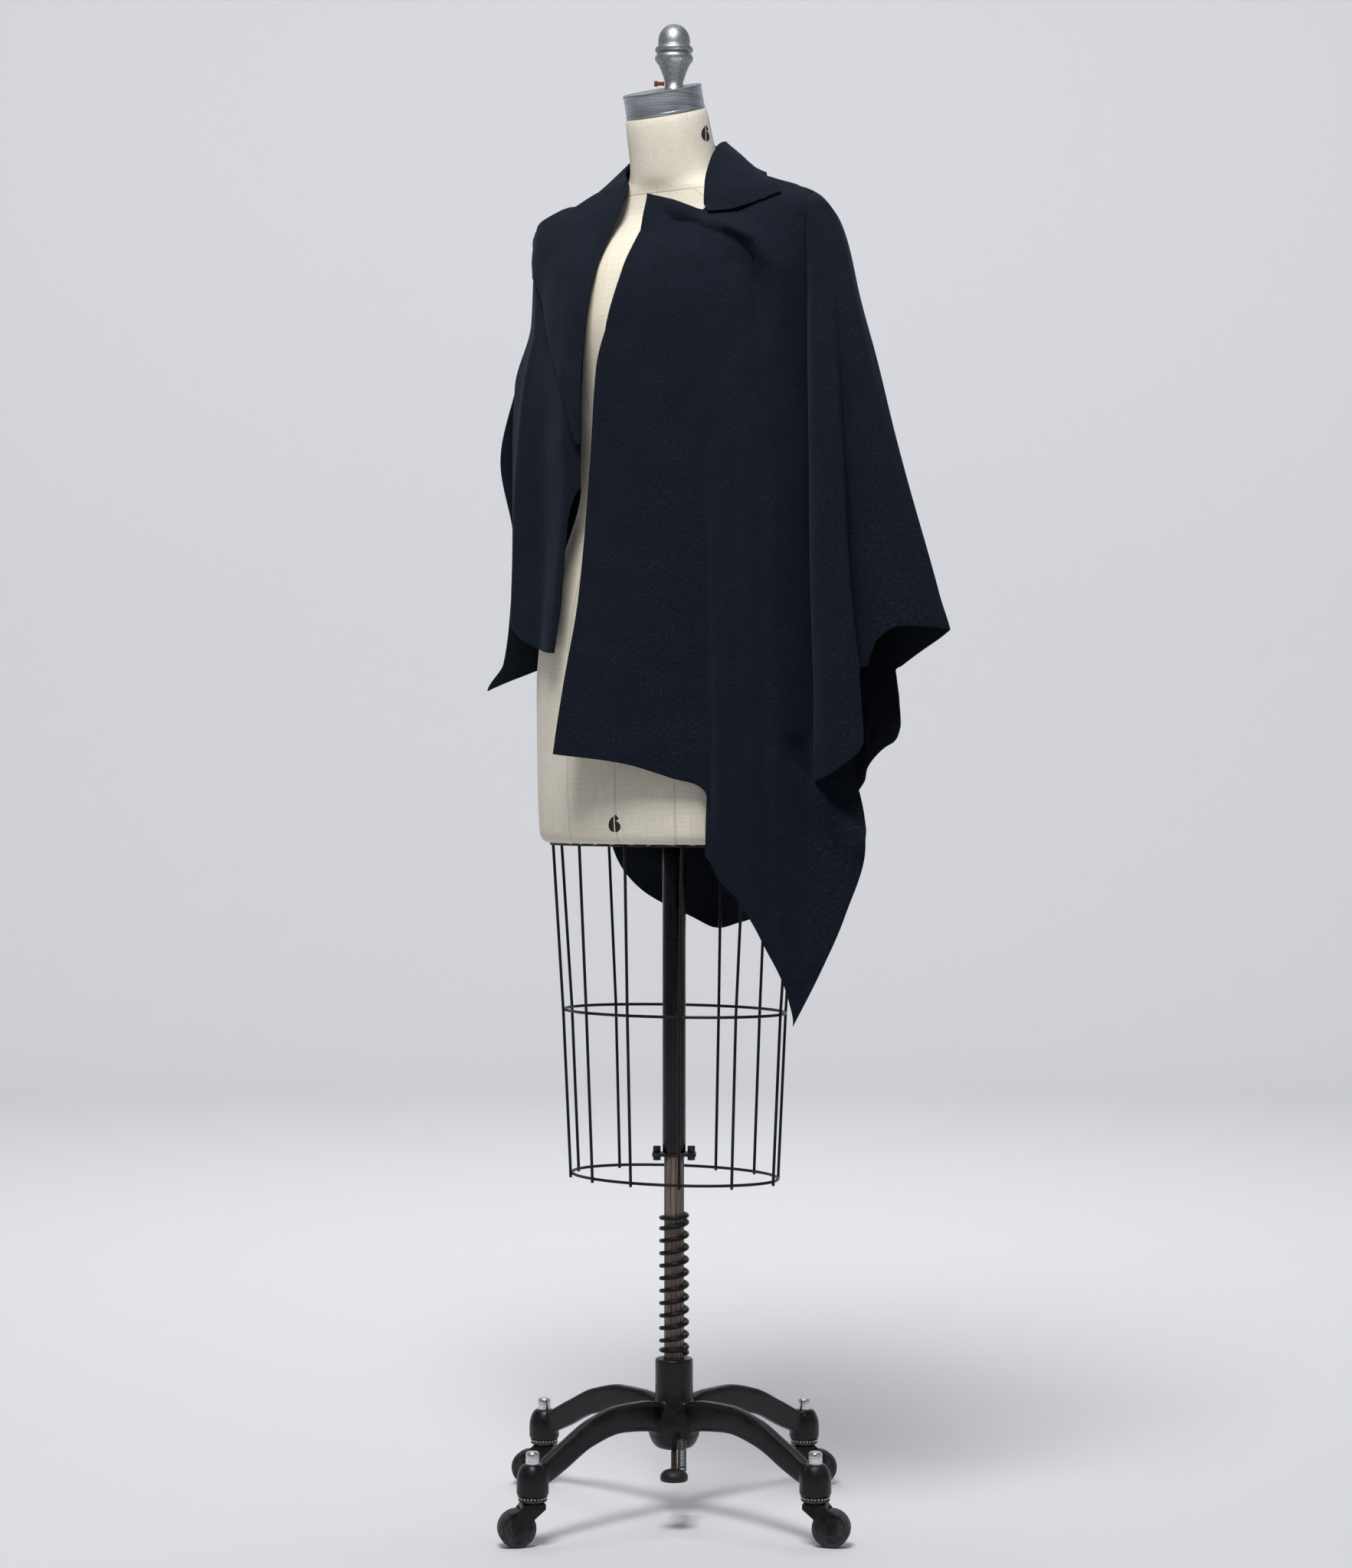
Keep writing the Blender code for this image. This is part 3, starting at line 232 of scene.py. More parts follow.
def form_linen(name, colour, seam_colour):
    """Plain linen canvas, stretched and glued over papier-mache, and varnished by years of handling.

    The eye gets a warm cream with thicker slub threads both ways, faint stains and dark seam lines.
    The real threads stand 0.7 mm apart; they are drawn at 1.4 mm.
    """
    made, tree, _ = new_material(
        name, roughness=0.78, specular_ior_level=0.3, sheen_weight=0.08, sheen_roughness=0.5
    )
    place = add_node(tree, "ShaderNodeUVMap", {"uv_map": "linen"}).outputs["UV"]
    round_form = add_node(tree, "ShaderNodeMapping", {"Scale": (1.05, 1.0, 1.0)}, {"Vector": place})
    threads = round_form.outputs["Vector"]
    warp_and_weft = []
    for stretch in ((1.0, 0.04, 1.0), (0.04, 1.0, 1.0)):
        drawn = add_node(tree, "ShaderNodeMapping", {"Scale": stretch}, {"Vector": threads}).outputs[0]
        thread = add_node(tree, "ShaderNodeTexNoise", {"Scale": 700.0, "Detail": 2.0}, {"Vector": drawn})
        warp_and_weft.append(thread.outputs["Fac"])
    weave = add_node(
        tree, "ShaderNodeMix", {"data_type": "FLOAT", "Factor": 0.5},
        {"A": warp_and_weft[0], "B": warp_and_weft[1]},
    )
    stain = add_node(
        tree, "ShaderNodeTexNoise", {"Scale": 9.0, "Detail": 5.0, "Roughness": 0.6}, {"Vector": place}
    )
    cloth = ramp(tree, weave.outputs["Result"], (0.34, "#D3CCBC"), (0.5, colour), (0.68, "#E6E1D5"))
    aged = ramp(tree, stain.outputs["Fac"], (0.35, "#FFFFFF"), (0.62, "#F8F4EA"), (0.8, "#EFE8DA"))
    tinted = add_node(
        tree, "ShaderNodeMix", {"data_type": "RGBA", "blend_type": "MULTIPLY", "Factor": 0.8},
        {6: cloth, 7: aged},
    )
    split = add_node(tree, "ShaderNodeSeparateXYZ", None, {"Vector": place})
    turn, rise = split.outputs["X"], split.outputs["Y"]
    seam = None
    for at in LINEN_SEAMS:
        off = add_node(tree, "ShaderNodeMath", {"operation": "SUBTRACT", 1: at}, {0: turn})
        line = stitched_line(tree, off.outputs[0], 0.0006, 0.0016)
        if seam is not None:
            line = add_node(tree, "ShaderNodeMath", {"operation": "MAXIMUM"}, {0: seam, 1: line}).outputs[0]
        seam = line
    low_neck = add_node(
        tree, "ShaderNodeMapRange", {"From Min": 1.535, "From Max": 1.55, "To Min": 1.0, "To Max": 0.0},
        {"Value": rise},
    )
    seam = add_node(
        tree, "ShaderNodeMath", {"operation": "MULTIPLY"}, {0: seam, 1: low_neck.outputs[0]}
    ).outputs[0]
    angle = add_node(tree, "ShaderNodeMath", {"operation": "MULTIPLY", 1: 2 * pi}, {0: turn})
    front_back = add_node(tree, "ShaderNodeMath", {"operation": "SINE"}, {0: angle.outputs[0]})
    dip = add_node(
        tree, "ShaderNodeMath", {"operation": "MULTIPLY_ADD", 1: 0.011, 2: 1.545}, {0: front_back.outputs[0]}
    )
    off = add_node(tree, "ShaderNodeMath", {"operation": "SUBTRACT"}, {0: rise, 1: dip.outputs[0]})
    neck = stitched_line(tree, off.outputs[0], 0.0005, 0.0013)
    seam = add_node(tree, "ShaderNodeMath", {"operation": "MAXIMUM"}, {0: seam, 1: neck}).outputs[0]
    faint = add_node(tree, "ShaderNodeMath", {"operation": "MULTIPLY", 1: 0.24}, {0: seam})
    sewn_in = add_node(
        tree, "ShaderNodeMix", {"data_type": "RGBA", 7: linear(seam_colour)},
        {0: faint.outputs[0], 6: tinted.outputs[2]},
    )
    sunk = add_node(
        tree, "ShaderNodeMath", {"operation": "MULTIPLY_ADD", 1: -1.4}, {0: seam, 2: weave.outputs["Result"]}
    )
    return surfaced(made, sewn_in.outputs[2], sunk.outputs[0], 0.5, 0.0005)


def enamel(name, colour, worn, roughness, chips, metallic=0.0, grain=60.0, relief=0.00025):
    """Stoved black enamel over iron or steel: a smooth skin, dusty in places and chipped to grey.

    The eye gets a sharp gloss on the rounded parts, duller dust in random patches and small pale chips.
    Chips start at about 2 mm across.
    """
    made, tree, shader = new_material(name, metallic=metallic, specular_ior_level=0.3)
    place = add_node(tree, "ShaderNodeTexCoord").outputs["Object"]
    dust = add_node(
        tree, "ShaderNodeTexNoise", {"Scale": grain, "Detail": 6.0, "Roughness": 0.65}, {"Vector": place}
    )
    chip = add_node(
        tree, "ShaderNodeTexNoise", {"Scale": 310.0, "Detail": 5.0, "Roughness": 0.7}, {"Vector": place}
    )
    mask = add_node(
        tree, "ShaderNodeMapRange", {"From Min": 0.70 - chips, "From Max": 0.74 - chips},
        {"Value": chip.outputs["Fac"]},
    )
    skin = ramp(tree, dust.outputs["Fac"], (0.35, colour), (0.75, worn))
    shown = add_node(
        tree, "ShaderNodeMix", {"data_type": "RGBA", 7: linear("#5C5B59")}, {0: mask.outputs[0], 6: skin}
    )
    dull = add_node(
        tree, "ShaderNodeMapRange",
        {"From Min": 0.35, "From Max": 0.75, "To Min": roughness, "To Max": roughness + 0.28},
        {"Value": dust.outputs["Fac"]},
    )
    tree.links.new(dull.outputs[0], shader.inputs["Roughness"])
    lumps = add_node(tree, "ShaderNodeTexNoise", {"Scale": 140.0, "Detail": 3.0}, {"Vector": place})
    return surfaced(made, shown.outputs[2], lumps.outputs["Fac"], 0.45, relief)


def bare_metal(name, dark, bright, roughness, grain, squash, relief):
    """Bare metal with its working marks: spun, cast, ground or plated, by the grain's size and stretch.

    The eye gets streaks along the way it was worked, and a reflection broken by them.
    """
    made, tree, shader = new_material(name, metallic=1.0)
    place = add_node(tree, "ShaderNodeTexCoord").outputs["Object"]
    along = add_node(tree, "ShaderNodeMapping", {"Scale": squash}, {"Vector": place})
    marks = add_node(
        tree, "ShaderNodeTexNoise", {"Scale": grain, "Detail": 4.0, "Roughness": 0.6},
        {"Vector": along.outputs["Vector"]},
    )
    colour = ramp(tree, marks.outputs["Fac"], (0.3, dark), (0.7, bright))
    rough = add_node(
        tree, "ShaderNodeMapRange",
        {"From Min": 0.3, "From Max": 0.7, "To Min": roughness + 0.12, "To Max": roughness - 0.04},
        {"Value": marks.outputs["Fac"]},
    )
    tree.links.new(rough.outputs[0], shader.inputs["Roughness"])
    return surfaced(made, colour, marks.outputs["Fac"], 0.4, relief)


def worn_pole_paint(name):
    """Brown-black lacquer on a turned steel pole, rubbed through in upright streaks by the sliding clamp.

    The eye gets a dull grey-brown with fine upright lines.
    """
    made, tree, _ = new_material(name, roughness=0.5, metallic=0.25)
    place = add_node(tree, "ShaderNodeTexCoord").outputs["Object"]
    upright = add_node(tree, "ShaderNodeMapping", {"Scale": (1.0, 1.0, 0.02)}, {"Vector": place})
    streaks = add_node(
        tree, "ShaderNodeTexNoise", {"Scale": 480.0, "Detail": 5.0, "Roughness": 0.65},
        {"Vector": upright.outputs["Vector"]},
    )
    shades = (0.34, "#2A2523"), (0.48, "#5B4C43"), (0.6, "#7C6F66"), (0.74, "#3B3230")
    colour = ramp(tree, streaks.outputs["Fac"], *shades)
    return surfaced(made, colour, streaks.outputs["Fac"], 0.3, 0.0002)


def matt_surface(name, dark, light, roughness, grain, relief=0.0003):
    """Matt material of two close colours, such as moulded rubber, stained board, rust or floor paint.

    The eye gets an even surface with dust or wear in patches of the grain's size.
    """
    made, tree, _ = new_material(name, roughness=roughness, specular_ior_level=0.35)
    place = add_node(tree, "ShaderNodeTexCoord").outputs["Object"]
    patches = add_node(
        tree, "ShaderNodeTexNoise", {"Scale": grain, "Detail": 6.0, "Roughness": 0.6}, {"Vector": place}
    )
    colour = ramp(tree, patches.outputs["Fac"], (0.35, dark), (0.68, light))
    return surfaced(made, colour, patches.outputs["Fac"], 0.35, relief)


# Meshes
def mesh_from(name, points, faces):
    mesh = bpy.data.meshes.new(name)
    mesh.from_pydata([tuple(point) for point in points], [], faces)
    mesh.update()
    return mesh


def new_object(name, data):
    made = bpy.data.objects.new(name, data)
    bpy.context.scene.collection.objects.link(made)
    return made


def baked(made):
    """The object with its modifiers and its place worked into a plain mesh."""
    bpy.context.view_layer.update()
    shown = made.evaluated_get(bpy.context.evaluated_depsgraph_get())
    mesh = bpy.data.meshes.new_from_object(shown)
    mesh.transform(made.matrix_world)
    name = made.name
    bpy.data.objects.remove(made)
    mesh.name = name
    return new_object(name, mesh)


def finished(made, surface, body, replaced=(), smooth_below=None):
    """Piece with its finish, on its body, standing for its CAD nodes."""
    made.data.materials.clear()
    made.data.materials.append(surface)
    made.data.shade_smooth()
    if smooth_below is not None:
        made.data.set_sharp_from_angle(angle=radians(smooth_below))
    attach(made, body)
    if replaced:
        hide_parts(*replaced)


def loft(name, rings):
    """Closed solid through rings of equal counts of points."""
    count = len(rings[0])
    faces = [
        (
            level * count + k, level * count + (k + 1) % count,
            (level + 1) * count + (k + 1) % count, (level + 1) * count + k,
        )
        for level in range(len(rings) - 1) for k in range(count)
    ]
    total = len(rings) * count
    faces.append(tuple(reversed(range(count))))
    faces.append(tuple(range(total - count, total)))
    return new_object(name, mesh_from(name, [p for ring in rings for p in ring], faces))


def turned(name, profile, at=(0.0, 0.0, 0.0), sides=48, bevel=0.0):
    """Solid turned about an upright axis from (radius, height) rows that run down its outer side."""
    made = new_object(name, bpy.data.meshes.new(name))
    build = bmesh.new()
    rows = [build.verts.new((radius * MM, 0.0, height * MM)) for radius, height in profile]
    for first, second in zip(rows, rows[1:]):
        build.edges.new((first, second))
    build.to_mesh(made.data)
    build.free()
    made.location = at
    screw = made.modifiers.new("Turn", "SCREW")
    screw.steps = screw.render_steps = sides
    screw.use_merge_vertices = True
    screw.merge_threshold = 0.00001
    if bevel:
        soften(made, bevel)
    return made


def soften(made, width, angle=28):
    """Small rounding of an object's edges that turn by more than an angle in degrees."""
    bevel = made.modifiers.new("Edge", "BEVEL")
    bevel.width = width * MM
    bevel.segments = 2
    bevel.limit_method = "ANGLE"
    bevel.angle_limit = radians(angle)
    bevel.use_clamp_overlap = True
    return made


def from_node(node, name, width):
    """Copy of a CAD node with its flat faces whole again and its edges rounded."""
    build = bmesh.new()
    build.from_mesh(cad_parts[node].data)
    bmesh.ops.remove_doubles(build, verts=build.verts, dist=0.00001)
    bmesh.ops.dissolve_limit(
        build, angle_limit=radians(1.0), verts=build.verts[:], edges=build.edges[:], delimit=set()
    )
    mesh = bpy.data.meshes.new(name)
    build.to_mesh(mesh)
    build.free()
    return baked(soften(new_object(name, mesh), width))


# Geometry Nodes
def new_tree(name, *inputs):
    """Node tree for shapes: each input is a name, a socket type and a default. Gives its input node too."""
    tree = bpy.data.node_groups.new(name, "GeometryNodeTree")
    for label, kind, default in inputs:
        socket = tree.interface.new_socket(label, in_out="INPUT", socket_type=kind)
        if default is not None:
            socket.default_value = default
    tree.interface.new_socket("Geometry", in_out="OUTPUT", socket_type="NodeSocketGeometry")
    return tree, add_node(tree, "NodeGroupInput").outputs


def close_tree(tree, geometry, surface):
    """Last nodes of a tree: instances made real, and one finish."""
    real = add_node(tree, "GeometryNodeRealizeInstances", None, {"Geometry": geometry})
    faced = add_node(tree, "GeometryNodeSetMaterial", {"Material": surface}, {"Geometry": real.outputs[0]})
    add_node(tree, "NodeGroupOutput", None, {"Geometry": faced.outputs[0]})
    return tree


def grown(name, tree, sizes):
    """Plain mesh object of what a tree makes with the given sizes."""
    made = new_object(name, bpy.data.meshes.new(name))
    change = made.modifiers.new("Grow", "NODES")
    change.node_group = tree
    for item in tree.interface.items_tree:
        if item.in_out == "INPUT" and item.name in sizes:
            change[item.identifier] = sizes[item.name]
    return baked(made)


def coil_tree(surface):
    """Spring: a wire that climbs evenly, with its first and last turns lying closed."""
    tree, given = new_tree(
        "coil", ("Radius", "NodeSocketFloat", 0.015), ("Wire", "NodeSocketFloat", 0.0025),
        ("Height", "NodeSocketFloat", 0.16), ("Turns", "NodeSocketFloat", 12.0),
        ("Closed pitch", "NodeSocketFloat", 0.0055),
    )
    line = add_node(tree, "GeometryNodeCurvePrimitiveLine")
    points = add_node(tree, "GeometryNodeResampleCurve", {"Count": 560}, {"Curve": line.outputs[0]})
    along = add_node(tree, "GeometryNodeSplineParameter").outputs["Factor"]
    times = {"operation": "MULTIPLY"}
    turn = add_node(tree, "ShaderNodeMath", times, {0: along, 1: given["Turns"]}).outputs[0]
    angle = add_node(tree, "ShaderNodeMath", {"operation": "MULTIPLY", 1: 2 * pi}, {0: turn}).outputs[0]
    level = []
    for wave in ("COSINE", "SINE"):
        unit = add_node(tree, "ShaderNodeMath", {"operation": wave}, {0: angle}).outputs[0]
        level.append(add_node(tree, "ShaderNodeMath", times, {0: unit, 1: given["Radius"]}).outputs[0])
    last = add_node(tree, "ShaderNodeMath", {"operation": "SUBTRACT", 1: 1.0}, {0: given["Turns"]}).outputs[0]
    ends = add_node(tree, "ShaderNodeMath", {"operation": "MULTIPLY", 1: 2.0}, {0: given["Closed pitch"]})
    middle = add_node(
        tree, "ShaderNodeMath", {"operation": "SUBTRACT"}, {0: given["Height"], 1: ends.outputs[0]}
    ).outputs[0]
    rise = add_node(
        tree, "ShaderNodeMapRange", {"From Min": 1.0, "To Min": 0.0},
        {"Value": turn, "From Max": last, "To Max": middle},
    ).outputs[0]
    foot = add_node(
        tree, "ShaderNodeMapRange", None, {"Value": turn, "To Max": given["Closed pitch"]}
    ).outputs[0]
    head = add_node(
        tree, "ShaderNodeMapRange", {"To Min": 0.0},
        {"Value": turn, "From Min": last, "From Max": given["Turns"], "To Max": given["Closed pitch"]},
    ).outputs[0]
    low = add_node(tree, "ShaderNodeMath", {"operation": "ADD"}, {0: rise, 1: foot}).outputs[0]
    z = add_node(tree, "ShaderNodeMath", {"operation": "ADD"}, {0: low, 1: head}).outputs[0]
    place = add_node(tree, "ShaderNodeCombineXYZ", None, {"X": level[0], "Y": level[1], "Z": z}).outputs[0]
    wound = add_node(
        tree, "GeometryNodeSetPosition", None, {"Geometry": points.outputs[0], "Position": place}
    )
    section = add_node(
        tree, "GeometryNodeCurvePrimitiveCircle", {"Resolution": 14}, {"Radius": given["Wire"]}
    )
    wire = add_node(
        tree, "GeometryNodeCurveToMesh", {"Fill Caps": True},
        {"Curve": wound.outputs[0], "Profile Curve": section.outputs["Curve"]},
    )
    return close_tree(tree, wire.outputs[0], surface)


def cage_tree(surface, wires):
    """Skirt cage: wires evenly round an oval that narrows downward, and an oval ring at each lower row."""
    tree, given = new_tree(
        "skirt_cage", ("Wires", "NodeSocketInt", wires), ("Wire", "NodeSocketFloat", CAGE_WIRE),
        ("Outward", "NodeSocketFloat", CAGE_OUTWARD),
    )
    (top, top_x, top_y), (mid, mid_x, mid_y), (low, low_x, low_y) = CAGE_ROWS
    section = add_node(
        tree, "GeometryNodeCurvePrimitiveCircle", {"Resolution": 12}, {"Radius": given["Wire"]}
    )
    circle = add_node(tree, "GeometryNodeCurvePrimitiveCircle", {"Resolution": 720, "Radius": 1.0})
    led = add_node(
        tree, "GeometryNodeTransform", {"Rotation": (0.0, 0.0, CAGE_LEAD)},
        {"Geometry": circle.outputs["Curve"]},
    )
    stretched = add_node(
        tree, "GeometryNodeTransform", {"Scale": (mid_x, mid_y, 1.0)}, {"Geometry": led.outputs[0]}
    )
    even = add_node(
        tree, "GeometryNodeResampleCurve", None, {"Curve": stretched.outputs[0], "Count": given["Wires"]}
    )
    spots = add_node(
        tree, "GeometryNodeTransform", {"Scale": (1 / mid_x, 1 / mid_y, 1.0)}, {"Geometry": even.outputs[0]}
    )
    foot = low - CAGE_WIRE_BELOW
    line = add_node(tree, "GeometryNodeCurvePrimitiveLine", {"Start": (0, 0, top), "End": (0, 0, foot)})
    fine = add_node(tree, "GeometryNodeResampleCurve", {"Count": 41}, {"Curve": line.outputs[0]})
    placed = add_node(
        tree, "GeometryNodeInstanceOnPoints", None, {"Points": spots.outputs[0], "Instance": fine.outputs[0]}
    )
    real = add_node(tree, "GeometryNodeRealizeInstances", None, {"Geometry": placed.outputs[0]})
    here = add_node(tree, "GeometryNodeInputPosition").outputs[0]
    split = add_node(tree, "ShaderNodeSeparateXYZ", None, {"Vector": here}).outputs
    oval = add_node(tree, "ShaderNodeCombineXYZ", None, {"Z": split["Z"]})
    for axis, at_low, at_mid, at_top in (("X", low_x, mid_x, top_x), ("Y", low_y, mid_y, top_y)):
        size = given["Outward"]
        for spans in ((low, mid, at_low, at_mid), (mid, top, 0.0, at_top - at_mid)):
            rows = dict(zip(("From Min", "From Max", "To Min", "To Max"), spans))
            part = add_node(tree, "ShaderNodeMapRange", rows, {"Value": split["Z"]}).outputs[0]
            size = add_node(tree, "ShaderNodeMath", {"operation": "ADD"}, {0: size, 1: part}).outputs[0]
        out = add_node(tree, "ShaderNodeMath", {"operation": "MULTIPLY"}, {0: split[axis], 1: size})
        tree.links.new(out.outputs[0], oval.inputs[axis])
    leaning = add_node(
        tree, "GeometryNodeSetPosition", None, {"Geometry": real.outputs[0], "Position": oval.outputs[0]}
    )
    upright = add_node(
        tree, "GeometryNodeCurveToMesh", {"Fill Caps": True},
        {"Curve": leaning.outputs[0], "Profile Curve": section.outputs["Curve"]},
    )
    joined = add_node(tree, "GeometryNodeJoinGeometry")
    tree.links.new(upright.outputs[0], joined.inputs[0])
    for height, half_x, half_y in ((mid, mid_x, mid_y), (low, low_x, low_y)):
        ring = add_node(tree, "GeometryNodeCurvePrimitiveCircle", {"Resolution": 144, "Radius": 1.0})
        drawn = add_node(
            tree, "GeometryNodeTransform", {"Translation": (0, 0, height), "Scale": (half_x, half_y, 1.0)},
            {"Geometry": ring.outputs["Curve"]},
        )
        hoop = add_node(
            tree, "GeometryNodeCurveToMesh", None,
            {"Curve": drawn.outputs[0], "Profile Curve": section.outputs["Curve"]},
        )
        tree.links.new(hoop.outputs[0], joined.inputs[0])
    moved = add_node(
        tree, "GeometryNodeTransform", {"Translation": POLE_AT}, {"Geometry": joined.outputs[0]}
    )
    return close_tree(tree, moved.outputs[0], surface)


def balls_tree(surface, radius, ball, count):
    """Bearing balls in a ring."""
    tree, given = new_tree(
        "bearing_balls", ("Ring radius", "NodeSocketFloat", radius), ("Ball", "NodeSocketFloat", ball),
        ("Count", "NodeSocketInt", count), ("Place", "NodeSocketVector", (0.0, 0.0, 0.0)),
    )
    ring = add_node(
        tree, "GeometryNodeMeshCircle", None, {"Vertices": given["Count"], "Radius": given["Ring radius"]}
    )
    sphere = add_node(
        tree, "GeometryNodeMeshUVSphere", {"Segments": 12, "Rings": 8}, {"Radius": given["Ball"]}
    )
    rolled = add_node(
        tree, "GeometryNodeInstanceOnPoints", None, {"Points": ring.outputs[0], "Instance": sphere.outputs[0]}
    )
    moved = add_node(
        tree, "GeometryNodeTransform", None, {"Geometry": rolled.outputs[0], "Translation": given["Place"]}
    )
    return close_tree(tree, moved.outputs[0], surface)


# Cloth
CLOTH_WALL = 2.0                          # thickness of the wool, after fulling
FALL_OFF_PANEL = 4.2                      # from a panel's middle to the middle of a collar that lies on it
CLOTH_REACH = 60.0                        # how far off the wool still feels what it rests on
PANEL_REACH = 9.0                         # how far off a collar still feels the panel it lies on
SEAM_REACH = 32.0                         # how far apart two edges may be drawn and still be sewn
SEAM_EASE = 24.0                          # how far into a panel its seam pulls the cloth
SHARPEST_SEAM = 0.3                       # sine of the angle under which two walls meet as if at it
GRID_STEP = 3.8                           # spacing of the cloth's grid

# Each section row is a height, then (across, depth) on each line of the panel from its first edge to
# its last. Each end row is a line, the panel's top there and its hem there. Each fold is a path of
# (line, height), its widths to the left and to the right of a path that runs down (below and above one
# that runs across), and its depths at even steps along the path: below zero it sinks in.
LEFT_FRONT = {
    # lines: front edge, bust, first fold, ridge, second fold, third fold, side
    "sections": (
        (1565, (-31, -36), (2, -46), (36, -56), (66, -28), (102, -46), (132, -66), (138, -70)),
        (1530, (-31, -42), (0, -56), (35, -66), (68, -77), (114, -72), (140, -80), (146, -84)),
        (1503, (-35, -56), (-2, -76), (34, -79), (66, -96), (104, -111), (143, -112), (150, -108)),
        (1465, (-41, -70), (-6, -97), (30, -109), (64, -121), (98, -129), (144, -122), (150, -116)),
        (1395, (-67, -95), (-25, -126), (22, -136), (62, -141), (96, -142), (145, -124), (151, -117)),
        (1320, (-88, -100), (-32, -130), (17, -141), (62, -148), (95, -150), (145, -127), (151, -119)),
        (1210, (-95, -102), (-36, -134), (31, -147), (63, -155), (95, -158), (146, -130), (152, -121)),
        (1060, (-108, -105), (-43, -139), (35, -154), (65, -163), (95, -167), (147, -132), (154, -123)),
        (960, (-125, -108), (-50, -142), (37, -159), (66, -168), (98, -171), (150, -132), (157, -124)),
        (910, (-133, -110), (-54, -143), (38, -161), (67, -170), (99, -173), (152, -132), (160, -125)),
        (880, (-137, -111), (-56, -144), (38, -162), (67, -171), (100, -174), (153, -132), (194, -136)),
        (785, (-150, -115), (-60, -146), (35, -163), (67, -173), (103, -177), (155, -142), (215, -150)),
        (700, (-160, -118), (-64, -148), (32, -164), (70, -175), (106, -178), (150, -158), (190, -158)),
        (640, (-160, -118), (-64, -148), (32, -164), (72, -175), (108, -178), (140, -168), (163, -164)),
        (578, (-160, -118), (-64, -148), (32, -164), (74, -175), (110, -177), (125, -172), (131, -170)),
    ),
    "ends": (
        (0, 1529, 883), (1, 1517, 872), (1.5, 1509, 856), (1.97, 1503, 836), (2.03, 1505, 768),
        (2.15, 1509, 764), (2.5, 1538, 742), (3, 1563, 722), (3.5, 1551, 692), (4, 1537, 655),
        (5, 1522, 598), (6, 1520, 580),
    ),
    "steps": (1.97, 2.03),
    "folds": (
        (((1.95, 1380), (1.95, 826)), (24, 13), (0, -6, -9, -10)),
        (((2.46, 1380), (2.42, 740)), (19, 25), (0, 4, 6, 7, 7)),
        (((4.0, 1400), (4.0, 700)), (13, 6), (0, -4, -6, -6)),
        (((4.22, 1300), (4.22, 700)), (5, 16), (0, 3, 4, 4)),
        (
            (
                (0.0, 1527), (0.8, 1514), (1.5, 1499), (2.3, 1484), (3.1, 1476), (3.8, 1462), (4.25, 1430),
                (4.4, 1370),
            ),
            (6, 13), (0, 6, 11, 13, 10, 3),
        ),
        (
            (
                (0.5, 1503), (0.9, 1495), (1.6, 1480), (2.45, 1462), (3.25, 1455), (3.75, 1438), (4.0, 1408),
                (4.1, 1350),
            ),
            (15, 5), (0, -11, -17, -18, -12, -3),
        ),
        (((5.0, 850), (5.5, 820), (6.0, 786)), (22, 5), (6, 10, 14)),
    ),
    "pitch": 48,
}

LEFT_SLEEVE = {
    # lines: third fold, crest, lip, fourth fold, middle of the sleeve, overarm
    "sections": (
        (1530, (140, -82), (148, -89), (154, -94), (159, -98), (163, -101), (166, -104)),
        (1505, (145, -114), (153, -120), (161, -124), (168, -125), (173, -121), (174.6, -112)),
        (1490, (145, -116), (155, -125), (164, -130), (173, -131), (180, -127), (184, -116)),
        (1465, (146, -120), (157, -131), (168, -138), (178, -139), (187, -136), (193.5, -123)),
        (1400, (147, -124), (161, -145), (175, -151), (183, -150), (197, -153), (208, -137)),
        (1320, (147, -129), (163, -161), (179, -167), (187, -160), (209, -168), (227, -152)),
        (1210, (148, -132), (167, -169), (185, -175), (194, -165), (225, -180), (253, -170)),
        (1100, (149, -133), (169, -175), (191, -181), (199, -168), (240, -189), (283, -183)),
        (1020, (151, -133), (172, -179), (198, -185), (206, -171), (250, -195), (304, -191)),
        (960, (153, -133.5), (174, -181), (205, -187), (211, -174), (250, -195), (304, -191)),
        (850, (157, -137), (178, -182), (215, -188), (219, -176), (250, -195), (304, -191)),
    ),
    "ends": (
        (0, 1524, 851), (1, 1521, 864), (1.55, 1520, 880), (1.95, 1519, 900), (2.1, 1519, 972),
        (3, 1517, 978), (3.25, 1516, 990), (3.5, 1515, 1010), (4, 1513, 1024), (4.6, 1509, 1023),
        (5, 1507, 1020),
    ),
    "steps": (1.95, 2.0, 2.05, 2.1),
    "folds": (
        (((3.0, 1420), (3.0, 970)), (14, 9), (0, -4, -8, -10)),
        (((4.2, 1440), (4.4, 1030)), (16, 16), (0, 3, 4)),
    ),
    "pitch": 32,
}

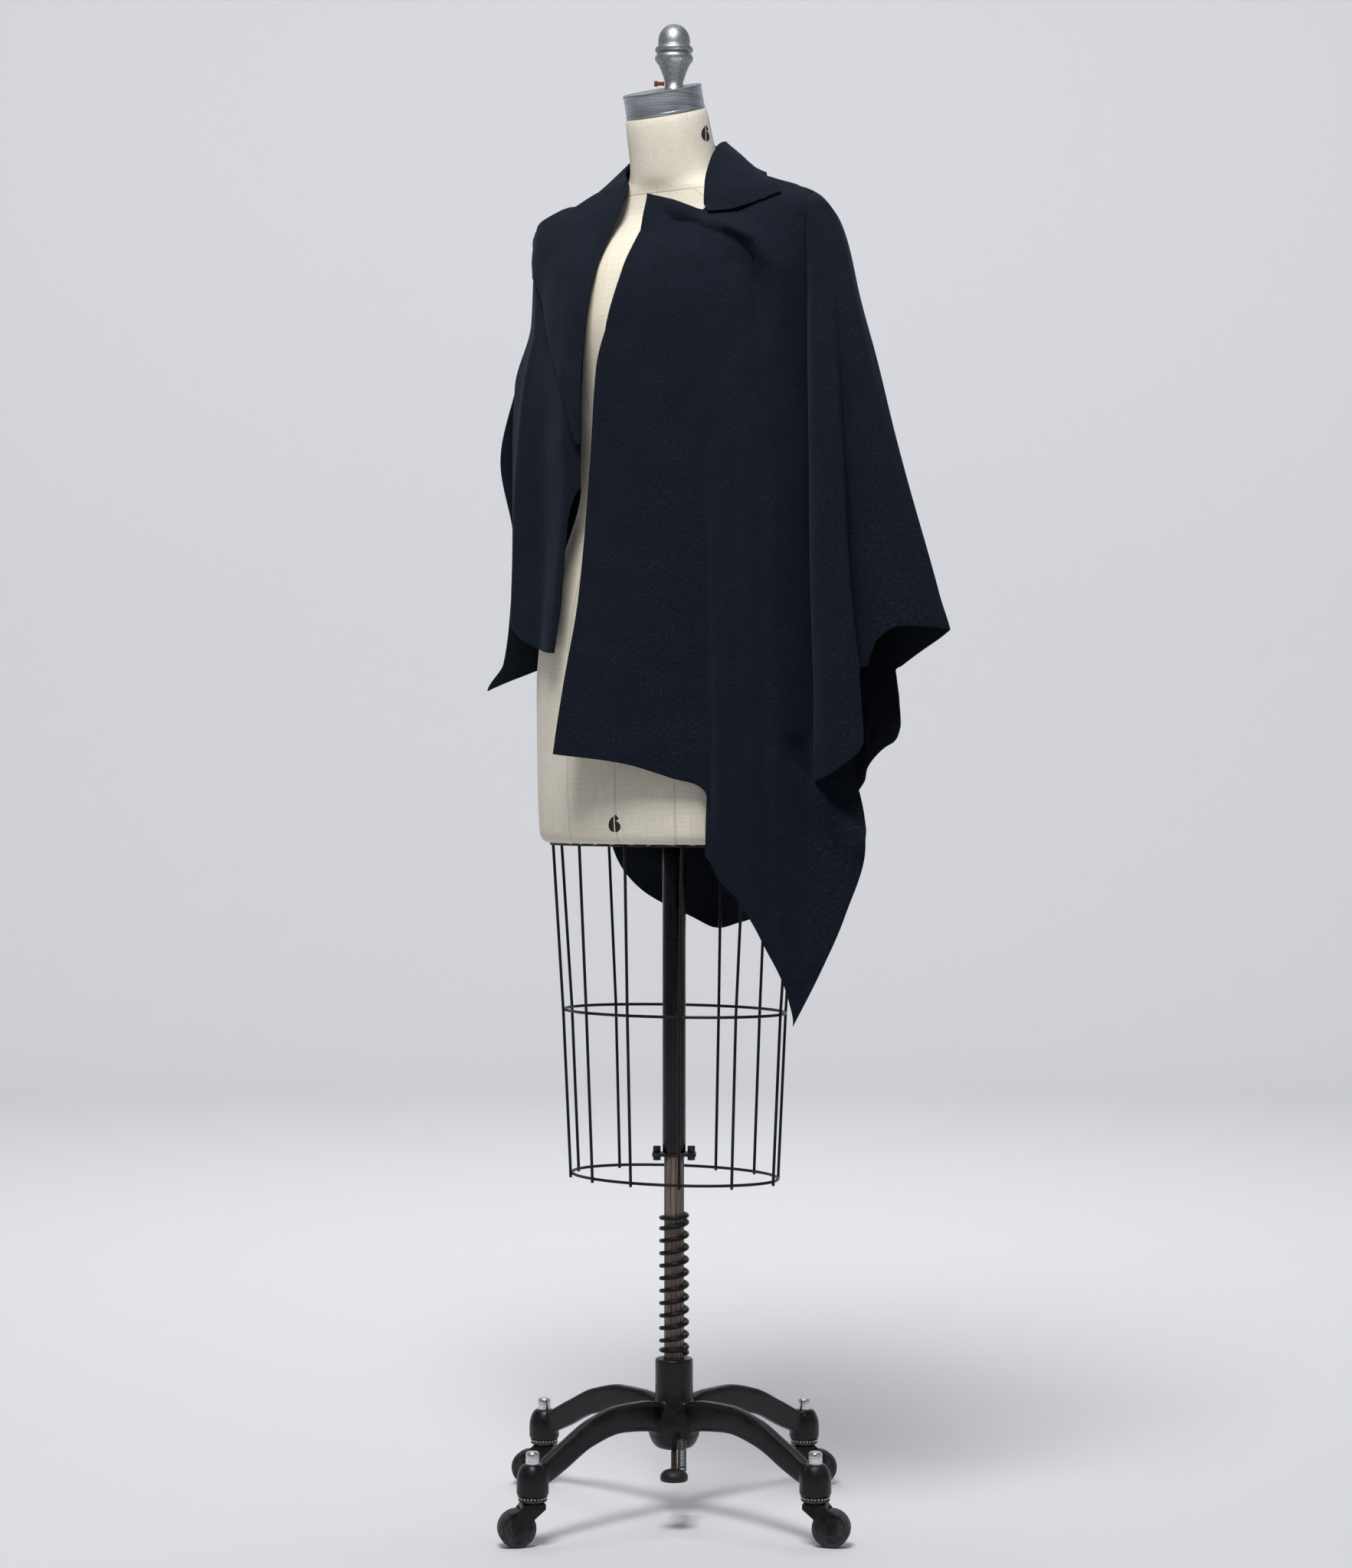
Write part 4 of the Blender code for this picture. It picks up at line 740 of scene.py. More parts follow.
LEFT_BACK = {
    # lines: overarm, back of the sleeve, side, side back, shoulder blade, centre back
    "sections": (
        (1575, (165, -102), (150, -88), (125, -72), (90, -48), (64, -22), (34, 51)),
        (1540, (166, -101), (155, -90), (138, -70), (104, -40), (84, -8), (35, 53)),
        (1503, (174.6, -106), (171, -94), (162, -70), (144, -37), (107, 6), (39, 60)),
        (1490, (184, -112), (179, -98), (171, -71), (152, -35), (114, 12), (46, 71)),
        (1465, (193.5, -119), (188.5, -104), (182, -72), (165, -33), (124, 22), (55, 84)),
        (1395, (208, -134), (204, -112), (197, -76), (182, -32), (139, 37), (67, 102)),
        (1320, (227, -149), (220, -122), (211, -82), (194, -36), (146, 39), (69, 105)),
        (1210, (253, -167), (242, -136), (227, -90), (206, -40), (154, 41), (71, 108)),
        (1060, (293, -184), (263, -151), (242, -100), (216, -45), (161, 43), (74, 112)),
        (1000, (308, -187), (270, -155), (246, -104), (218, -46), (165, 44), (76, 115)),
        (915, (308, -187), (274, -158), (255, -110), (219, -48), (170, 45), (78, 118)),
        (850, (308, -187), (274, -158), (255, -110), (212, -50), (172, 46), (80, 121)),
        (685, (308, -187), (274, -158), (255, -110), (205, -52), (172, 48), (83, 126)),
    ),
    "ends": (
        (0, 1507, 1020), (0.5, 1514, 1006), (1, 1520, 994), (1.7, 1529, 982), (1.96, 1532, 978),
        (2, 1533, 915), (2.4, 1540, 888), (2.7, 1546, 863), (3, 1552, 842), (4, 1569, 745),
        (4.5, 1573, 702), (5, 1577, 684),
    ),
    "steps": (1.7, 1.96, 1.98, 2.0),
    "folds": (
        (((2.5, 1400), (2.6, 860)), (18, 13), (0, -8, -14)),
        (((3.5, 1350), (3.6, 790)), (15, 21), (0, 7, 12)),
        (((4.4, 1300), (4.5, 700)), (14, 18), (0, -9, -10)),
    ),
    "pitch": 70,
}

RIGHT_BACK = {
    # lines: centre back, shoulder blade, side back, side, overarm
    "sections": (
        (1575, (34, 52), (-18, 66), (-48, 50), (-105, 82), (-160, 112)),
        (1535, (35, 54), (-24, 78), (-56, 82), (-108, 96), (-160, 115)),
        (1503, (38, 60), (-15, 90), (-56, 110), (-106, 125), (-162, 121)),
        (1465, (53, 85), (0, 113), (-56, 136), (-112, 146), (-165, 129)),
        (1395, (65, 103), (10, 130), (-58, 151), (-123, 160), (-168, 130)),
        (1320, (67, 106), (13, 135), (-56, 157), (-131, 167), (-191, 124)),
        (1236, (68, 108), (14, 137), (-55, 160), (-134, 170), (-208, 120)),
        (1138, (70, 110), (16, 140), (-54, 165), (-127, 172), (-192, 116)),
        (1060, (72, 112), (18, 143), (-54, 170), (-120, 175), (-196, 112)),
        (993, (74, 115), (20, 147), (-59, 172), (-114, 176), (-204, 106)),
        (958, (76, 116), (20, 149), (-61, 172), (-112, 176), (-223, 100)),
        (785, (80, 123), (19, 153), (-73, 167), (-112, 176), (-223, 100)),
        (680, (82, 126), (19, 151), (-73, 167), (-112, 176), (-223, 100)),
    ),
    "ends": (
        (0, 1577, 684), (0.5, 1573, 676), (1, 1570, 690), (1.5, 1567, 714), (2, 1563, 768),
        (2.5, 1546, 880), (3, 1533, 990), (3.5, 1521, 988), (3.75, 1515, 977), (4, 1509, 960),
    ),
    "steps": (),
    "folds": (
        (((0.6, 1330), (0.6, 700)), (20, 15), (0, 8, 12)),
        (((1.5, 1400), (1.5, 760)), (14, 20), (0, -7, -12)),
        (((2.3, 1300), (2.35, 900)), (12, 16), (0, 5, 4)),
        (((3.0, 1400), (3.0, 1010)), (18, 18), (0, 8)),
    ),
    "pitch": 68,
}

RIGHT_FRONT = {
    # lines: overarm, outer ridge, middle, inner ridge, edge under the lapel
    "sections": (
        (1560, (-160, 110), (-150, 103), (-125, 90), (-95, 74), (-60, 54)),
        (1530, (-161, 106), (-154, 94), (-132, 76), (-102, 54), (-66, 28)),
        (1503, (-162, 98), (-158, 74), (-140, 47), (-112, 18), (-75, -10)),
        (1465, (-166, 88), (-161, 50), (-142, 18), (-115, -16), (-88, -44)),
        (1395, (-169, 84), (-161, 40), (-142, 0), (-121, -50), (-98, -76)),
        (1320, (-188, 80), (-173, 38), (-150, -2), (-123, -56), (-105, -78)),
        (1250, (-190, 68), (-180, 34), (-152, -4), (-124, -58), (-107, -70)),
        (1190, (-190, 56), (-184, 30), (-153, -7), (-122, -60), (-107, -66)),
        (1117, (-190, 46), (-186, 24), (-154, -14), (-126, -63), (-107, -66)),
        (1035, (-190, 38), (-187, 16), (-158, -26), (-132, -66), (-107, -66)),
        (998, (-190, 36), (-187, 14), (-160, -30), (-137, -66), (-107, -66)),
    ),
    "ends": (
        (0, 1509, 1036), (1, 1514, 1030), (1.6, 1520, 1013), (2, 1525, 1005), (2.98, 1539, 999),
        (3.12, 1541, 1150), (3.5, 1548, 1178), (4, 1556, 1188),
    ),
    "steps": (2.98, 3.03, 3.08, 3.12),
    "folds": (
        (((1.0, 1440), (1.0, 1040)), (8, 8), (2, 3)),
        (((2.0, 1380), (2.0, 1010)), (12, 12), (0, -5)),
        (((2.9, 1330), (2.9, 1000)), (9, 9), (1, 2)),
    ),
    "pitch": 38,
}

# Collar rows run from the front end round to the back of the neck: the roll line, the middle of the
# fall and its outer edge, each as across, depth and height.
LEFT_COLLAR = (
    ((39, -88, 1493), (80, -110, 1503.4), (121.5, -102, 1518.8)),
    ((34, -78, 1512), (79, -105, 1514), (117, -94, 1530)),
    ((35, -63, 1538), (80, -91, 1533), (111, -78, 1539)),
    ((41, -46, 1566), (81, -64, 1555), (106, -57, 1545)),
    ((51, -23, 1589), (82, -36, 1569), (105, -32, 1549)),
    ((60, 10, 1598), (88, 6, 1571), (108, 10, 1533)),
    ((54, 38, 1600), (78, 44, 1573), (96, 46, 1528)),
    ((35, 53, 1600), (46, 71, 1573), (52, 80, 1524)),
)
RIGHT_LAPEL = (
    ((34.6, 53.3, 1600), (45.6, 71.4, 1573), (51.6, 80.4, 1524)),
    ((10, 62, 1599), (6, 84, 1573), (-4, 96, 1520)),
    ((-14, 66, 1595), (-26, 92, 1568), (-50, 112, 1510)),
    ((-38, 60, 1588), (-62, 92, 1556), (-104, 134, 1506)),
    ((-48, 44, 1583), (-92, 82, 1549), (-160, 128, 1507)),
    ((-46, 12, 1566), (-98, 64, 1541), (-165, 108, 1508)),
    ((-52, -12, 1540), (-104, 28, 1524), (-165, 86, 1494)),
    ((-67, -34, 1500), (-113, 0, 1492), (-162, 66, 1465)),
    ((-79, -50, 1467), (-118, -18, 1460), (-158, 52, 1448)),
    ((-91, -72, 1430), (-122, -42, 1430), (-154, 36, 1433)),
    ((-98, -86, 1395), (-124, -54, 1400), (-151, 8, 1404)),
    ((-103, -90, 1342), (-122, -66, 1350), (-143, -22, 1352)),
    ((-106, -88, 1305), (-117, -72, 1304), (-128, -56, 1303)),
    ((-106, -82, 1262), (-113, -76, 1263), (-120, -68, 1265)),
    ((-106, -78, 1236), (-109, -76, 1237), (-112, -74, 1238)),
)


def fold_depth(folds, lines, heights, pitch):
    """How far the folds move each spot of a panel outward, for grids of lines and heights."""
    spots = np.stack((lines * pitch, heights), axis=-1)
    total = np.zeros(lines.shape)
    for path, widths, depths in folds:
        nearest = np.full(lines.shape, np.inf)
        along_at, side_at, run = np.zeros(lines.shape), np.zeros(lines.shape), 0.0
        for (line_a, high_a), (line_b, high_b) in zip(path, path[1:]):
            a, b = np.array((line_a * pitch, high_a)), np.array((line_b * pitch, high_b))
            length = np.linalg.norm(b - a)
            t = np.clip((spots - a) @ (b - a) / length ** 2, 0.0, 1.0)
            away = np.linalg.norm(a + t[..., None] * (b - a) - spots, axis=-1)
            closer = away < nearest
            side = (b - a)[0] * (spots - a)[..., 1] - (b - a)[1] * (spots - a)[..., 0]
            nearest = np.where(closer, away, nearest)
            along_at = np.where(closer, run + t * length, along_at)
            side_at = np.where(closer, side, side_at)
            run += length
        depth = np.interp(along_at / run, np.linspace(0.0, 1.0, len(depths)), depths)
        total += depth * np.exp(-((nearest / np.where(side_at > 0, widths[1], widths[0])) ** 2))
    return total


def panel_grid(panel):
    """Grid of a panel's middle surface as seen, in millimetres: lines across by steps down."""
    sections, pitch = panel["sections"], panel["pitch"]
    heights_at = [row[0] for row in sections]
    places = np.array([row[1:] for row in sections], float)
    ends = np.array(panel["ends"], float)
    middle = places[len(places) // 2]
    width = np.linalg.norm(np.diff(middle, axis=0), axis=1).sum()
    last = places.shape[1] - 1
    lines = np.unique(np.concatenate((np.linspace(0, last, int(width / GRID_STEP) + 1), panel["steps"])))
    tops, hems = smooth(ends[:, 0], ends[:, 1], lines), smooth(ends[:, 0], ends[:, 2], lines)
    count = int((tops - hems).max() / GRID_STEP) + 1
    fall = np.linspace(0.0, 1.0, count)
    heights = tops[:, None] + (hems - tops)[:, None] * fall
    grid = np.empty(heights.shape + (3,))
    nudge = 0.05
    for k, line in enumerate(lines):
        across = smooth(heights_at, places, heights[k])
        near = [max(0.0, line - nudge), line, min(last, line + nudge)]
        before, here, after = smooth(range(last + 1), across.transpose(1, 0, 2), near)
        run = after - before
        run /= np.linalg.norm(run, axis=1)[:, None]
        out = fold_depth(panel["folds"], np.full(count, line), heights[k], pitch)[:, None]
        grid[k, :, :2] = here + np.stack((run[:, 1], -run[:, 0]), axis=1) * out
        grid[k, :, 2] = heights[k]
    return lines, grid


def fulled(grid, seed, depth=0.8, size=70.0):
    """Grid with the faint unevenness of thick fulled cloth, and a hem that isn't quite straight."""
    normal = np.cross(np.gradient(grid, axis=1), np.gradient(grid, axis=0))
    normal /= np.maximum(np.linalg.norm(normal, axis=2), 1e-9)[..., None]
    wave = np.empty(grid.shape[:2])
    for k in range(grid.shape[0]):
        for step in range(grid.shape[1]):
            x, y, z = grid[k, step] / size
            wave[k, step] = noise.noise(Vector((x + seed, y * 1.3, z * 0.7)))
    return grid + normal * (wave * depth)[..., None]


def rested(points, tree, distance, reach=CLOTH_REACH):
    """Points within reach of a surface moved off it, to at least a distance on its outer side."""
    moved = []
    for point in points:
        found, normal, _, away = tree.find_nearest(point, reach * MM)
        if found is not None:
            off = (point - found).dot(normal)
            beside = max(0.0, away ** 2 - off ** 2) ** 0.5
            if off < distance and beside < 2 * MM:
                point = found + normal * distance
        moved.append(point)
    return moved


def eased(grid, rounds):
    """Grid with the inner points drawn towards their neighbours, as thick cloth evens out."""
    for _ in range(rounds):
        grid = [
            [
                point if k in (0, len(grid) - 1) or step in (0, len(column) - 1)
                else (
                    point * 2 + grid[k - 1][step] + grid[k + 1][step] + column[step - 1] + column[step + 1]
                ) / 6
                for step, point in enumerate(column)
            ]
            for k, column in enumerate(grid)
        ]
    return grid


def edge_of(grid, side):
    """Points along one edge of a grid, each with the way its cloth runs out to it."""
    if side == "top":
        pairs = [(column[0], column[3]) for column in grid]
    elif side == "first":
        pairs = zip(grid[0], grid[3])
    else:
        pairs = zip(grid[-1], grid[-4])
    return [(rim, (rim - inner).normalized()) for rim, inner in pairs]


def sewn(point, inner, edge):
    """Point of a rim moved up to a neighbour's edge, so that the two walls meet at their faces."""
    best = None
    for (start, out_a), (end, out_b) in zip(edge, edge[1:]):
        along = end - start
        t = min(max((point - start).dot(along) / along.length_squared, 0.0), 1.0)
        spot = start + along * t
        apart = (spot - point).length
        if best is None or apart < best[0]:
            best = (apart, spot, out_a.lerp(out_b, t).normalized())
    apart, spot, out = best
    if apart > SEAM_REACH * MM:
        return point
    away = (inner - spot).normalized()
    straight = away.dot(out)
    bent = max(SHARPEST_SEAM, (away - out * straight).length)
    half = CLOTH_WALL / 2 * MM
    if straight > 0:
        return spot + away * half * bent
    return spot + away * half * (1 - straight) / bent


def pulled(grid, lines, side, edge, shares):
    """Grid with one edge sewn to a neighbour's, the cloth beside it easing after it."""
    rows = len(grid[0])
    if side == "top":
        strips = [column[:] for column in grid]
        places = lines
    else:
        order = range(len(grid)) if side == "first" else range(len(grid) - 1, -1, -1)
        strips = [[grid[k][step] for k in order] for step in range(rows)]
        places = [step * 12 / (rows - 1) for step in range(rows)]
    for place, strip in zip(places, strips):
        share = float(np.interp(place, *zip(*shares)))
        if share == 0.0:
            continue
        shift = (sewn(strip[0], strip[4], edge) - strip[0]) * share
        rim = strip[0].copy()
        for k in range(len(strip)):
            run = (strip[k] - rim).length
            fade = max(0.0, 1.0 - run / (SEAM_EASE * MM)) ** 2
            if fade == 0.0 and k:
                break
            strip[k] = strip[k] + shift * fade
    if side == "top":
        return strips
    result = [[None] * rows for _ in grid]
    for step, strip in enumerate(strips):
        for k, point in zip(order, strip):
            result[k][step] = point
    return result


def grid_faces(columns, rows):
    """Faces of a grid whose points are counted down each column in turn."""
    return [
        (k * rows + step, k * rows + step + 1, (k + 1) * rows + step + 1, (k + 1) * rows + step)
        for k in range(columns - 1) for step in range(rows - 1)
    ]


def cloth_piece(name, grid):
    """Wool wall over a grid of points, with its own lay-flat map in metres, and its cloth's area."""
    columns, rows = len(grid), len(grid[0])
    points = [point for column in grid for point in column]
    mesh = mesh_from(name, points, grid_faces(columns, rows))
    spots = np.array([point[:] for point in points]).reshape(columns, rows, 3)
    across = np.zeros((columns, rows))
    across[1:] = np.cumsum(np.linalg.norm(np.diff(spots, axis=0), axis=2), axis=0)
    down = np.zeros((columns, rows))
    down[:, 1:] = np.cumsum(np.linalg.norm(np.diff(spots, axis=1), axis=2), axis=1)
    across = np.broadcast_to(across[:, rows // 3][:, None], across.shape)
    flat = np.stack((across, spots[:, :1, 2] - down), axis=2).reshape(-1, 2)
    layer = mesh.uv_layers.new(name="cloth")
    corners = np.empty(len(mesh.loops), int)
    mesh.loops.foreach_get("vertex_index", corners)
    layer.data.foreach_set("uv", flat[corners].ravel())
    made = new_object(name, mesh)
    wall = made.modifiers.new("Wall", "SOLIDIFY")
    wall.thickness = CLOTH_WALL * MM
    wall.offset = 0.0
    soften(made, 0.6, 50)
    return baked(made), sum(polygon.area for polygon in mesh.polygons)


def tree_over(grid):
    """Search tree over a grid's faces."""
    points = [point for column in grid for point in column]
    return BVHTree.FromPolygons(points, grid_faces(len(grid), len(grid[0])))


def as_placed(grid):
    """Grid of seen millimetres as vectors in the part's frame."""
    turn = np.array(Matrix.Rotation(SEEN_FROM, 3, "Z"))
    spots = grid @ turn.T * MM + np.array(POLE_AT)
    return [[Vector(point) for point in column] for column in spots]


def shaped_panel(panel, seed, form, off_form, seams=()):
    """Panel's grid at rest: drawn, folded, fulled, sewn and lying clear of the form."""
    lines, grid = panel_grid(panel)
    placed = as_placed(fulled(grid, seed))
    placed = [rested(column, form, off_form) for column in placed]
    for side, edge, shares in seams:
        placed = pulled(placed, lines, side, edge, shares)
    return placed


def shaped_fall(rows, seed, form, off_form, panels):
    """Collar's grid at rest on the panels under it."""
    table = np.array(rows, float)
    numbers = range(len(rows))
    drop = np.linalg.norm(np.diff(table, axis=1), axis=2).sum(axis=1).max()
    reach = np.linalg.norm(np.diff(table[:, 2], axis=0), axis=1).sum()
    along = np.linspace(0, len(rows) - 1, int(reach / GRID_STEP) + 1)
    across = np.linspace(0, 2, int(drop / GRID_STEP) + 1)
    drawn = smooth(numbers, table, along)
    grid = smooth((0, 1, 2), drawn.transpose(1, 0, 2), across).transpose(1, 0, 2)
    placed = as_placed(fulled(grid, seed, 0.6))
    placed = [rested(column, form, off_form) for column in placed]
    for _ in range(3):
        for tree in panels:
            placed = [rested(column, tree, FALL_OFF_PANEL * MM, PANEL_REACH) for column in placed]
        placed = eased(placed, 2)
    return placed


def hang_jacket(wool, form, off_form):
    """The jacket's seven pieces: each panel sewn to those hung before it, the collar and lapel lying on
    theirs.
    """
    back = shaped_panel(LEFT_BACK, 3.1, form, off_form)
    shoulder, overarm = edge_of(back, "top"), edge_of(back, "first")
    seams = [("top", shoulder, ((2.4, 0), (3.0, 1), (6.0, 1)))]
    front = shaped_panel(LEFT_FRONT, 1.3, form, off_form, seams)
    seams = [
        ("first", edge_of(front, "last"), ((0, 1), (10.4, 1), (11.4, 0))),
        ("top", shoulder, ((0, 1), (5, 1))),
        ("last", overarm, ((0, 1), (12, 1))),
    ]
    sleeve = shaped_panel(LEFT_SLEEVE, 5.7, form, off_form, seams)
    seams = [("first", edge_of(back, "last"), ((0, 1), (12, 1)))]
    right_back = shaped_panel(RIGHT_BACK, 8.2, form, off_form, seams)
    seams = [("top", edge_of(right_back, "top"), ((0, 1), (4, 1)))]
    right_front = shaped_panel(RIGHT_FRONT, 6.4, form, off_form, seams)
    under_collar = [tree_over(grid) for grid in (front, sleeve, back)]
    collar = shaped_fall(LEFT_COLLAR, 2.6, form, off_form, under_collar)
    under_lapel = [tree_over(grid) for grid in (right_back, right_front)]
    lapel = shaped_fall(RIGHT_LAPEL, 4.9, form, off_form, under_lapel)

    laid("left_back", back, wool)
    laid("left_sleeve", sleeve, wool)
    laid("left_front", front, wool)
    laid("right_back", right_back, wool)
    laid("right_front", right_front, wool)
    laid("left_collar", collar, wool)
    laid("right_lapel", lapel, wool)


def laid(name, grid, surface):
    """Finished cloth piece over a grid, on its body."""
    made, area = cloth_piece(name + "_wool", grid)
    finished(made, surface, "column", (name,))


# Stand
# radius of the finial and rise over its foot, below the dome
FINIAL = (
    (18.6, 80), (18.2, 77.6), (18.5, 76.4), (20.6, 75.6), (21.8, 74.2), (22.1, 72.3), (21.6, 70.5),
    (20.2, 69.3), (18.7, 68.6), (18.5, 67.8), (19.3, 66.9), (21.1, 66.0), (22.0, 64.2), (22.2, 62.0),
    (21.8, 60.2), (20.3, 58.4), (17.6, 54.2), (14.9, 48.0), (12.4, 41.0), (10.8, 36.0), (10.4, 33.6),
    (10.5, 31.0),
    (11.6, 27.0), (13.2, 22.8), (14.4, 18.6), (14.7, 15.0), (14.6, 0.0), (0.0, 0.0),
)
DOME_RADIUS, DOME_FOOT, DOME_HEIGHT = 18.6, 83.0, 19.5
FINIAL_TOP = 1.733
# radius and rise of the finial's screw, from its head in, and how far its foot is behind the node's middle
THUMB_SCREW = (
    (0, 12.3), (2.6, 12.3), (3.2, 11.8), (3.3, 8.6), (2.9, 8.0), (2.3, 7.8), (2.2, 1.6), (2.7, 1.2),
    (2.7, 0.2), (0, 0.2),
)
SCREW_SUNK = 6.0
# radius and height of the hub, down its outer side and up its bore
HUB = (
    (12.3, 182), (20.3, 182), (21.5, 181.5), (22, 180.2), (22, 142), (22.6, 136), (24.6, 128), (28.4, 118),
    (30.8, 109), (30.9, 102), (29, 92), (25, 83.5), (20.5, 79), (14, 77), (0, 77), (0, 88), (12.3, 88),
    (12.3, 182),
)
# how far out a leg's section stands, its middle's height, half its depth and half its width
LEG = (
    (14, 112, 19, 9), (50, 121, 17.5, 8), (90, 123, 16, 7.5), (135, 114, 15.5, 7.5), (178, 94, 15.5, 7.5),
    (220, 74, 13, 7.5),
)
POURED_STEP = 1.5                         # size of the steps that the poured skin is worked out in
# radius and height of the bell that holds a caster, and of the plated stem in it
BELL = (
    (0, 92), (9, 92), (11.2, 91.4), (13.4, 88.8), (15.6, 84.6), (17.4, 79), (18, 74), (18, 58.2), (17.2, 57),
    (0, 57),
)
STEM = (
    (0, 105.5), (5.4, 105.5), (6.8, 104.7), (7.6, 103.2), (7.7, 100.2), (7.0, 99.8), (7.0, 99.1), (7.7, 98.7),
    (7.7, 92.3), (0, 92.3),
)
# radius and height of the ball race's two cups
RACE = (
    (0, 56.7), (16.2, 56.7), (16.6, 56.3), (16.5, 55.7), (13.3, 55.5), (13.3, 53.3), (16.3, 53.1),
    (16.5, 52.5), (16.1, 51.3), (12.6, 48.8), (0, 48.8),
)
BALL_RING, BALL_RADIUS, BALL_HEIGHT, BALL_COUNT = 14.7, 1.45, 54.4, 24
# radius and half width of a wheel, from its bore out to the middle of its tread
WHEEL = (
    (2.9, 8.7), (3.3, 9), (8.2, 9), (8.9, 8.6), (9.6, 7.2), (15.4, 6.7), (16.4, 7.3), (17.0, 8.8), (17.6, 9),
    (19.4, 9), (20.5, 8.5), (21.1, 7.5), (21.25, 6.0),
)
WHEEL_TRAIL = 18.0                        # how far the axle stands off the stem's line
WHEEL_RADIUS = 21.25
CASTER_REACH = (157.5, 160.0)             # across and depth of each caster's stem
# name, side across, side in depth, which way the wheel trails, in degrees from across
CASTERS = (
    ("front_left", -1, -1, 192), ("front_right", 1, -1, -12),
    ("rear_left", -1, 1, 168), ("rear_right", 1, 1, 12),
)
# radius and height of a clamp's bolt over the plate's underside, from its top down
BOLT = (
    (0, 11.5), (5.0, 11.5), (5.0, 4.1), (2.4, 4.1), (2.4, -0.3), (5.0, -0.3), (5.0, -5.0), (0, -5.0),
)
CLAMP_BOTTOM = 417.0
SLEEVE_RADIUS, SLEEVE_BOTTOM, SLEEVE_TOP = 13.5, 421.5, 777.7
POLE_RADIUS, POLE_BOTTOM = 11.6, 140.0
CLEAR = 0.3                               # gap between pieces that stand end to end
BOLT_OFF = 20.0                           # from the pole's axis to each clamp bolt's
COIL_RADIUS = 15.1                        # middle of the lifting spring's wire
CLOSED_PITCH = 2.25                       # rise of a closed turn, in wire radii
# height, half width and half depth of the cage's ovals, in metres
CAGE_ROWS = ((0.7806, 0.1545, 0.1045), (0.5857, 0.1395, 0.0985), (0.3945, 0.130, 0.0915))
CAGE_WIRE = 0.00175                       # radius
CAGE_OUTWARD = 0.0034                     # how far outside the rings the upright wires run
CAGE_WIRE_BELOW = 0.004                   # how far the upright wires end below the lowest ring
CAGE_LEAD = radians(2)                    # how far round the first wire stands
CAGE_NODES = [f"cage_wire_{number:02d}" for number in range(1, 13)] + ["cage_ring_middle", "cage_ring_bottom"]
PEDAL_ARM_RADIUS, PEDAL_REACH = 3.6, 90.0
# across, depth and height of the bends in the arm's middle, from the hub out
PEDAL_ARM = ((0, -4, 73), (0, -30, 72), (0, -55, 70), (0, -74.4, 65))
# radius and height of the pad, from its middle out and down
PEDAL_PAD = (
    (0, 71), (5, 70.9), (9, 70.3), (12, 69.1), (14.2, 67.2), (15.6, 64.6), (16, 61.5), (15.7, 59.3),
    (15, 58.5), (0, 58.5),
)


def form_ring(height, half_width, half_depth, forward, lean):
    """One ring of the form, leaning forward by lean degrees about its own middle."""
    tilt = radians(lean)
    ring = []
    for step in range(FORM_SIDES):
        angle = 2 * pi * step / FORM_SIDES
        x, y = half_width * cos(angle), half_depth * sin(angle)
        ring.append(on_pole() + Vector((x, y * cos(tilt) - forward, height + y * sin(tilt))) * MM)
    return ring


def form_cover(surface):
    """Padded body and neck of the form, with the linen's map: turns round it, and metres up it."""
    table = np.array(FORM_RINGS, float)
    heights = np.unique(np.concatenate((table[:5, 0], np.arange(796, 1624, 6.0), table[-2:, 0])))
    rows = smooth(table[:, 0], table[:, 1:], heights)
    made = loft("form_cover", [form_ring(height, *row) for height, row in zip(heights, rows)])
    mesh = made.data
    layer = mesh.uv_layers.new(name="linen")
    for polygon in mesh.polygons:
        last = max(mesh.loops[k].vertex_index % FORM_SIDES for k in polygon.loop_indices)
        for k in polygon.loop_indices:
            index = mesh.loops[k].vertex_index
            step = index % FORM_SIDES
            if step == 0 and last == FORM_SIDES - 1 and len(polygon.vertices) == 4:
                step = FORM_SIDES
            layer.data[k].uv = (step / FORM_SIDES, heights[index // FORM_SIDES] * MM)
    finished(made, surface, "column", ("dress_form",), 40)


def form_tree():
    """Search tree over the form's cover."""
    mesh = bpy.data.objects["form_cover"].data
    faces = [tuple(polygon.vertices) for polygon in mesh.polygons]
    return BVHTree.FromPolygons([vertex.co.copy() for vertex in mesh.vertices], faces)


def stencilled(made, bridge):
    """Parts a flat sign by an upright bridge through its middle, as a stencil leaves it."""
    halves = []
    for side in (-1, 1):
        half = bmesh.new()
        half.from_mesh(made.data)
        bmesh.ops.remove_doubles(half, verts=half.verts, dist=0.000005)
        bmesh.ops.bisect_plane(
            half, geom=half.verts[:] + half.edges[:] + half.faces[:], plane_co=(side * bridge / 2, 0.0, 0.0),
            plane_no=(-side, 0.0, 0.0), clear_outer=True,
        )
        bmesh.ops.holes_fill(half, edges=[edge for edge in half.edges if edge.is_boundary], sides=0)
        halves.append(bpy.data.meshes.new("half_sign"))
        half.to_mesh(halves[-1])
        half.free()
    whole = bmesh.new()
    for mesh in halves:
        whole.from_mesh(mesh)
        bpy.data.meshes.remove(mesh)
    bmesh.ops.triangulate(whole, faces=whole.faces)
    bmesh.ops.recalc_face_normals(whole, faces=whole.faces)
    whole.to_mesh(made.data)
    whole.free()


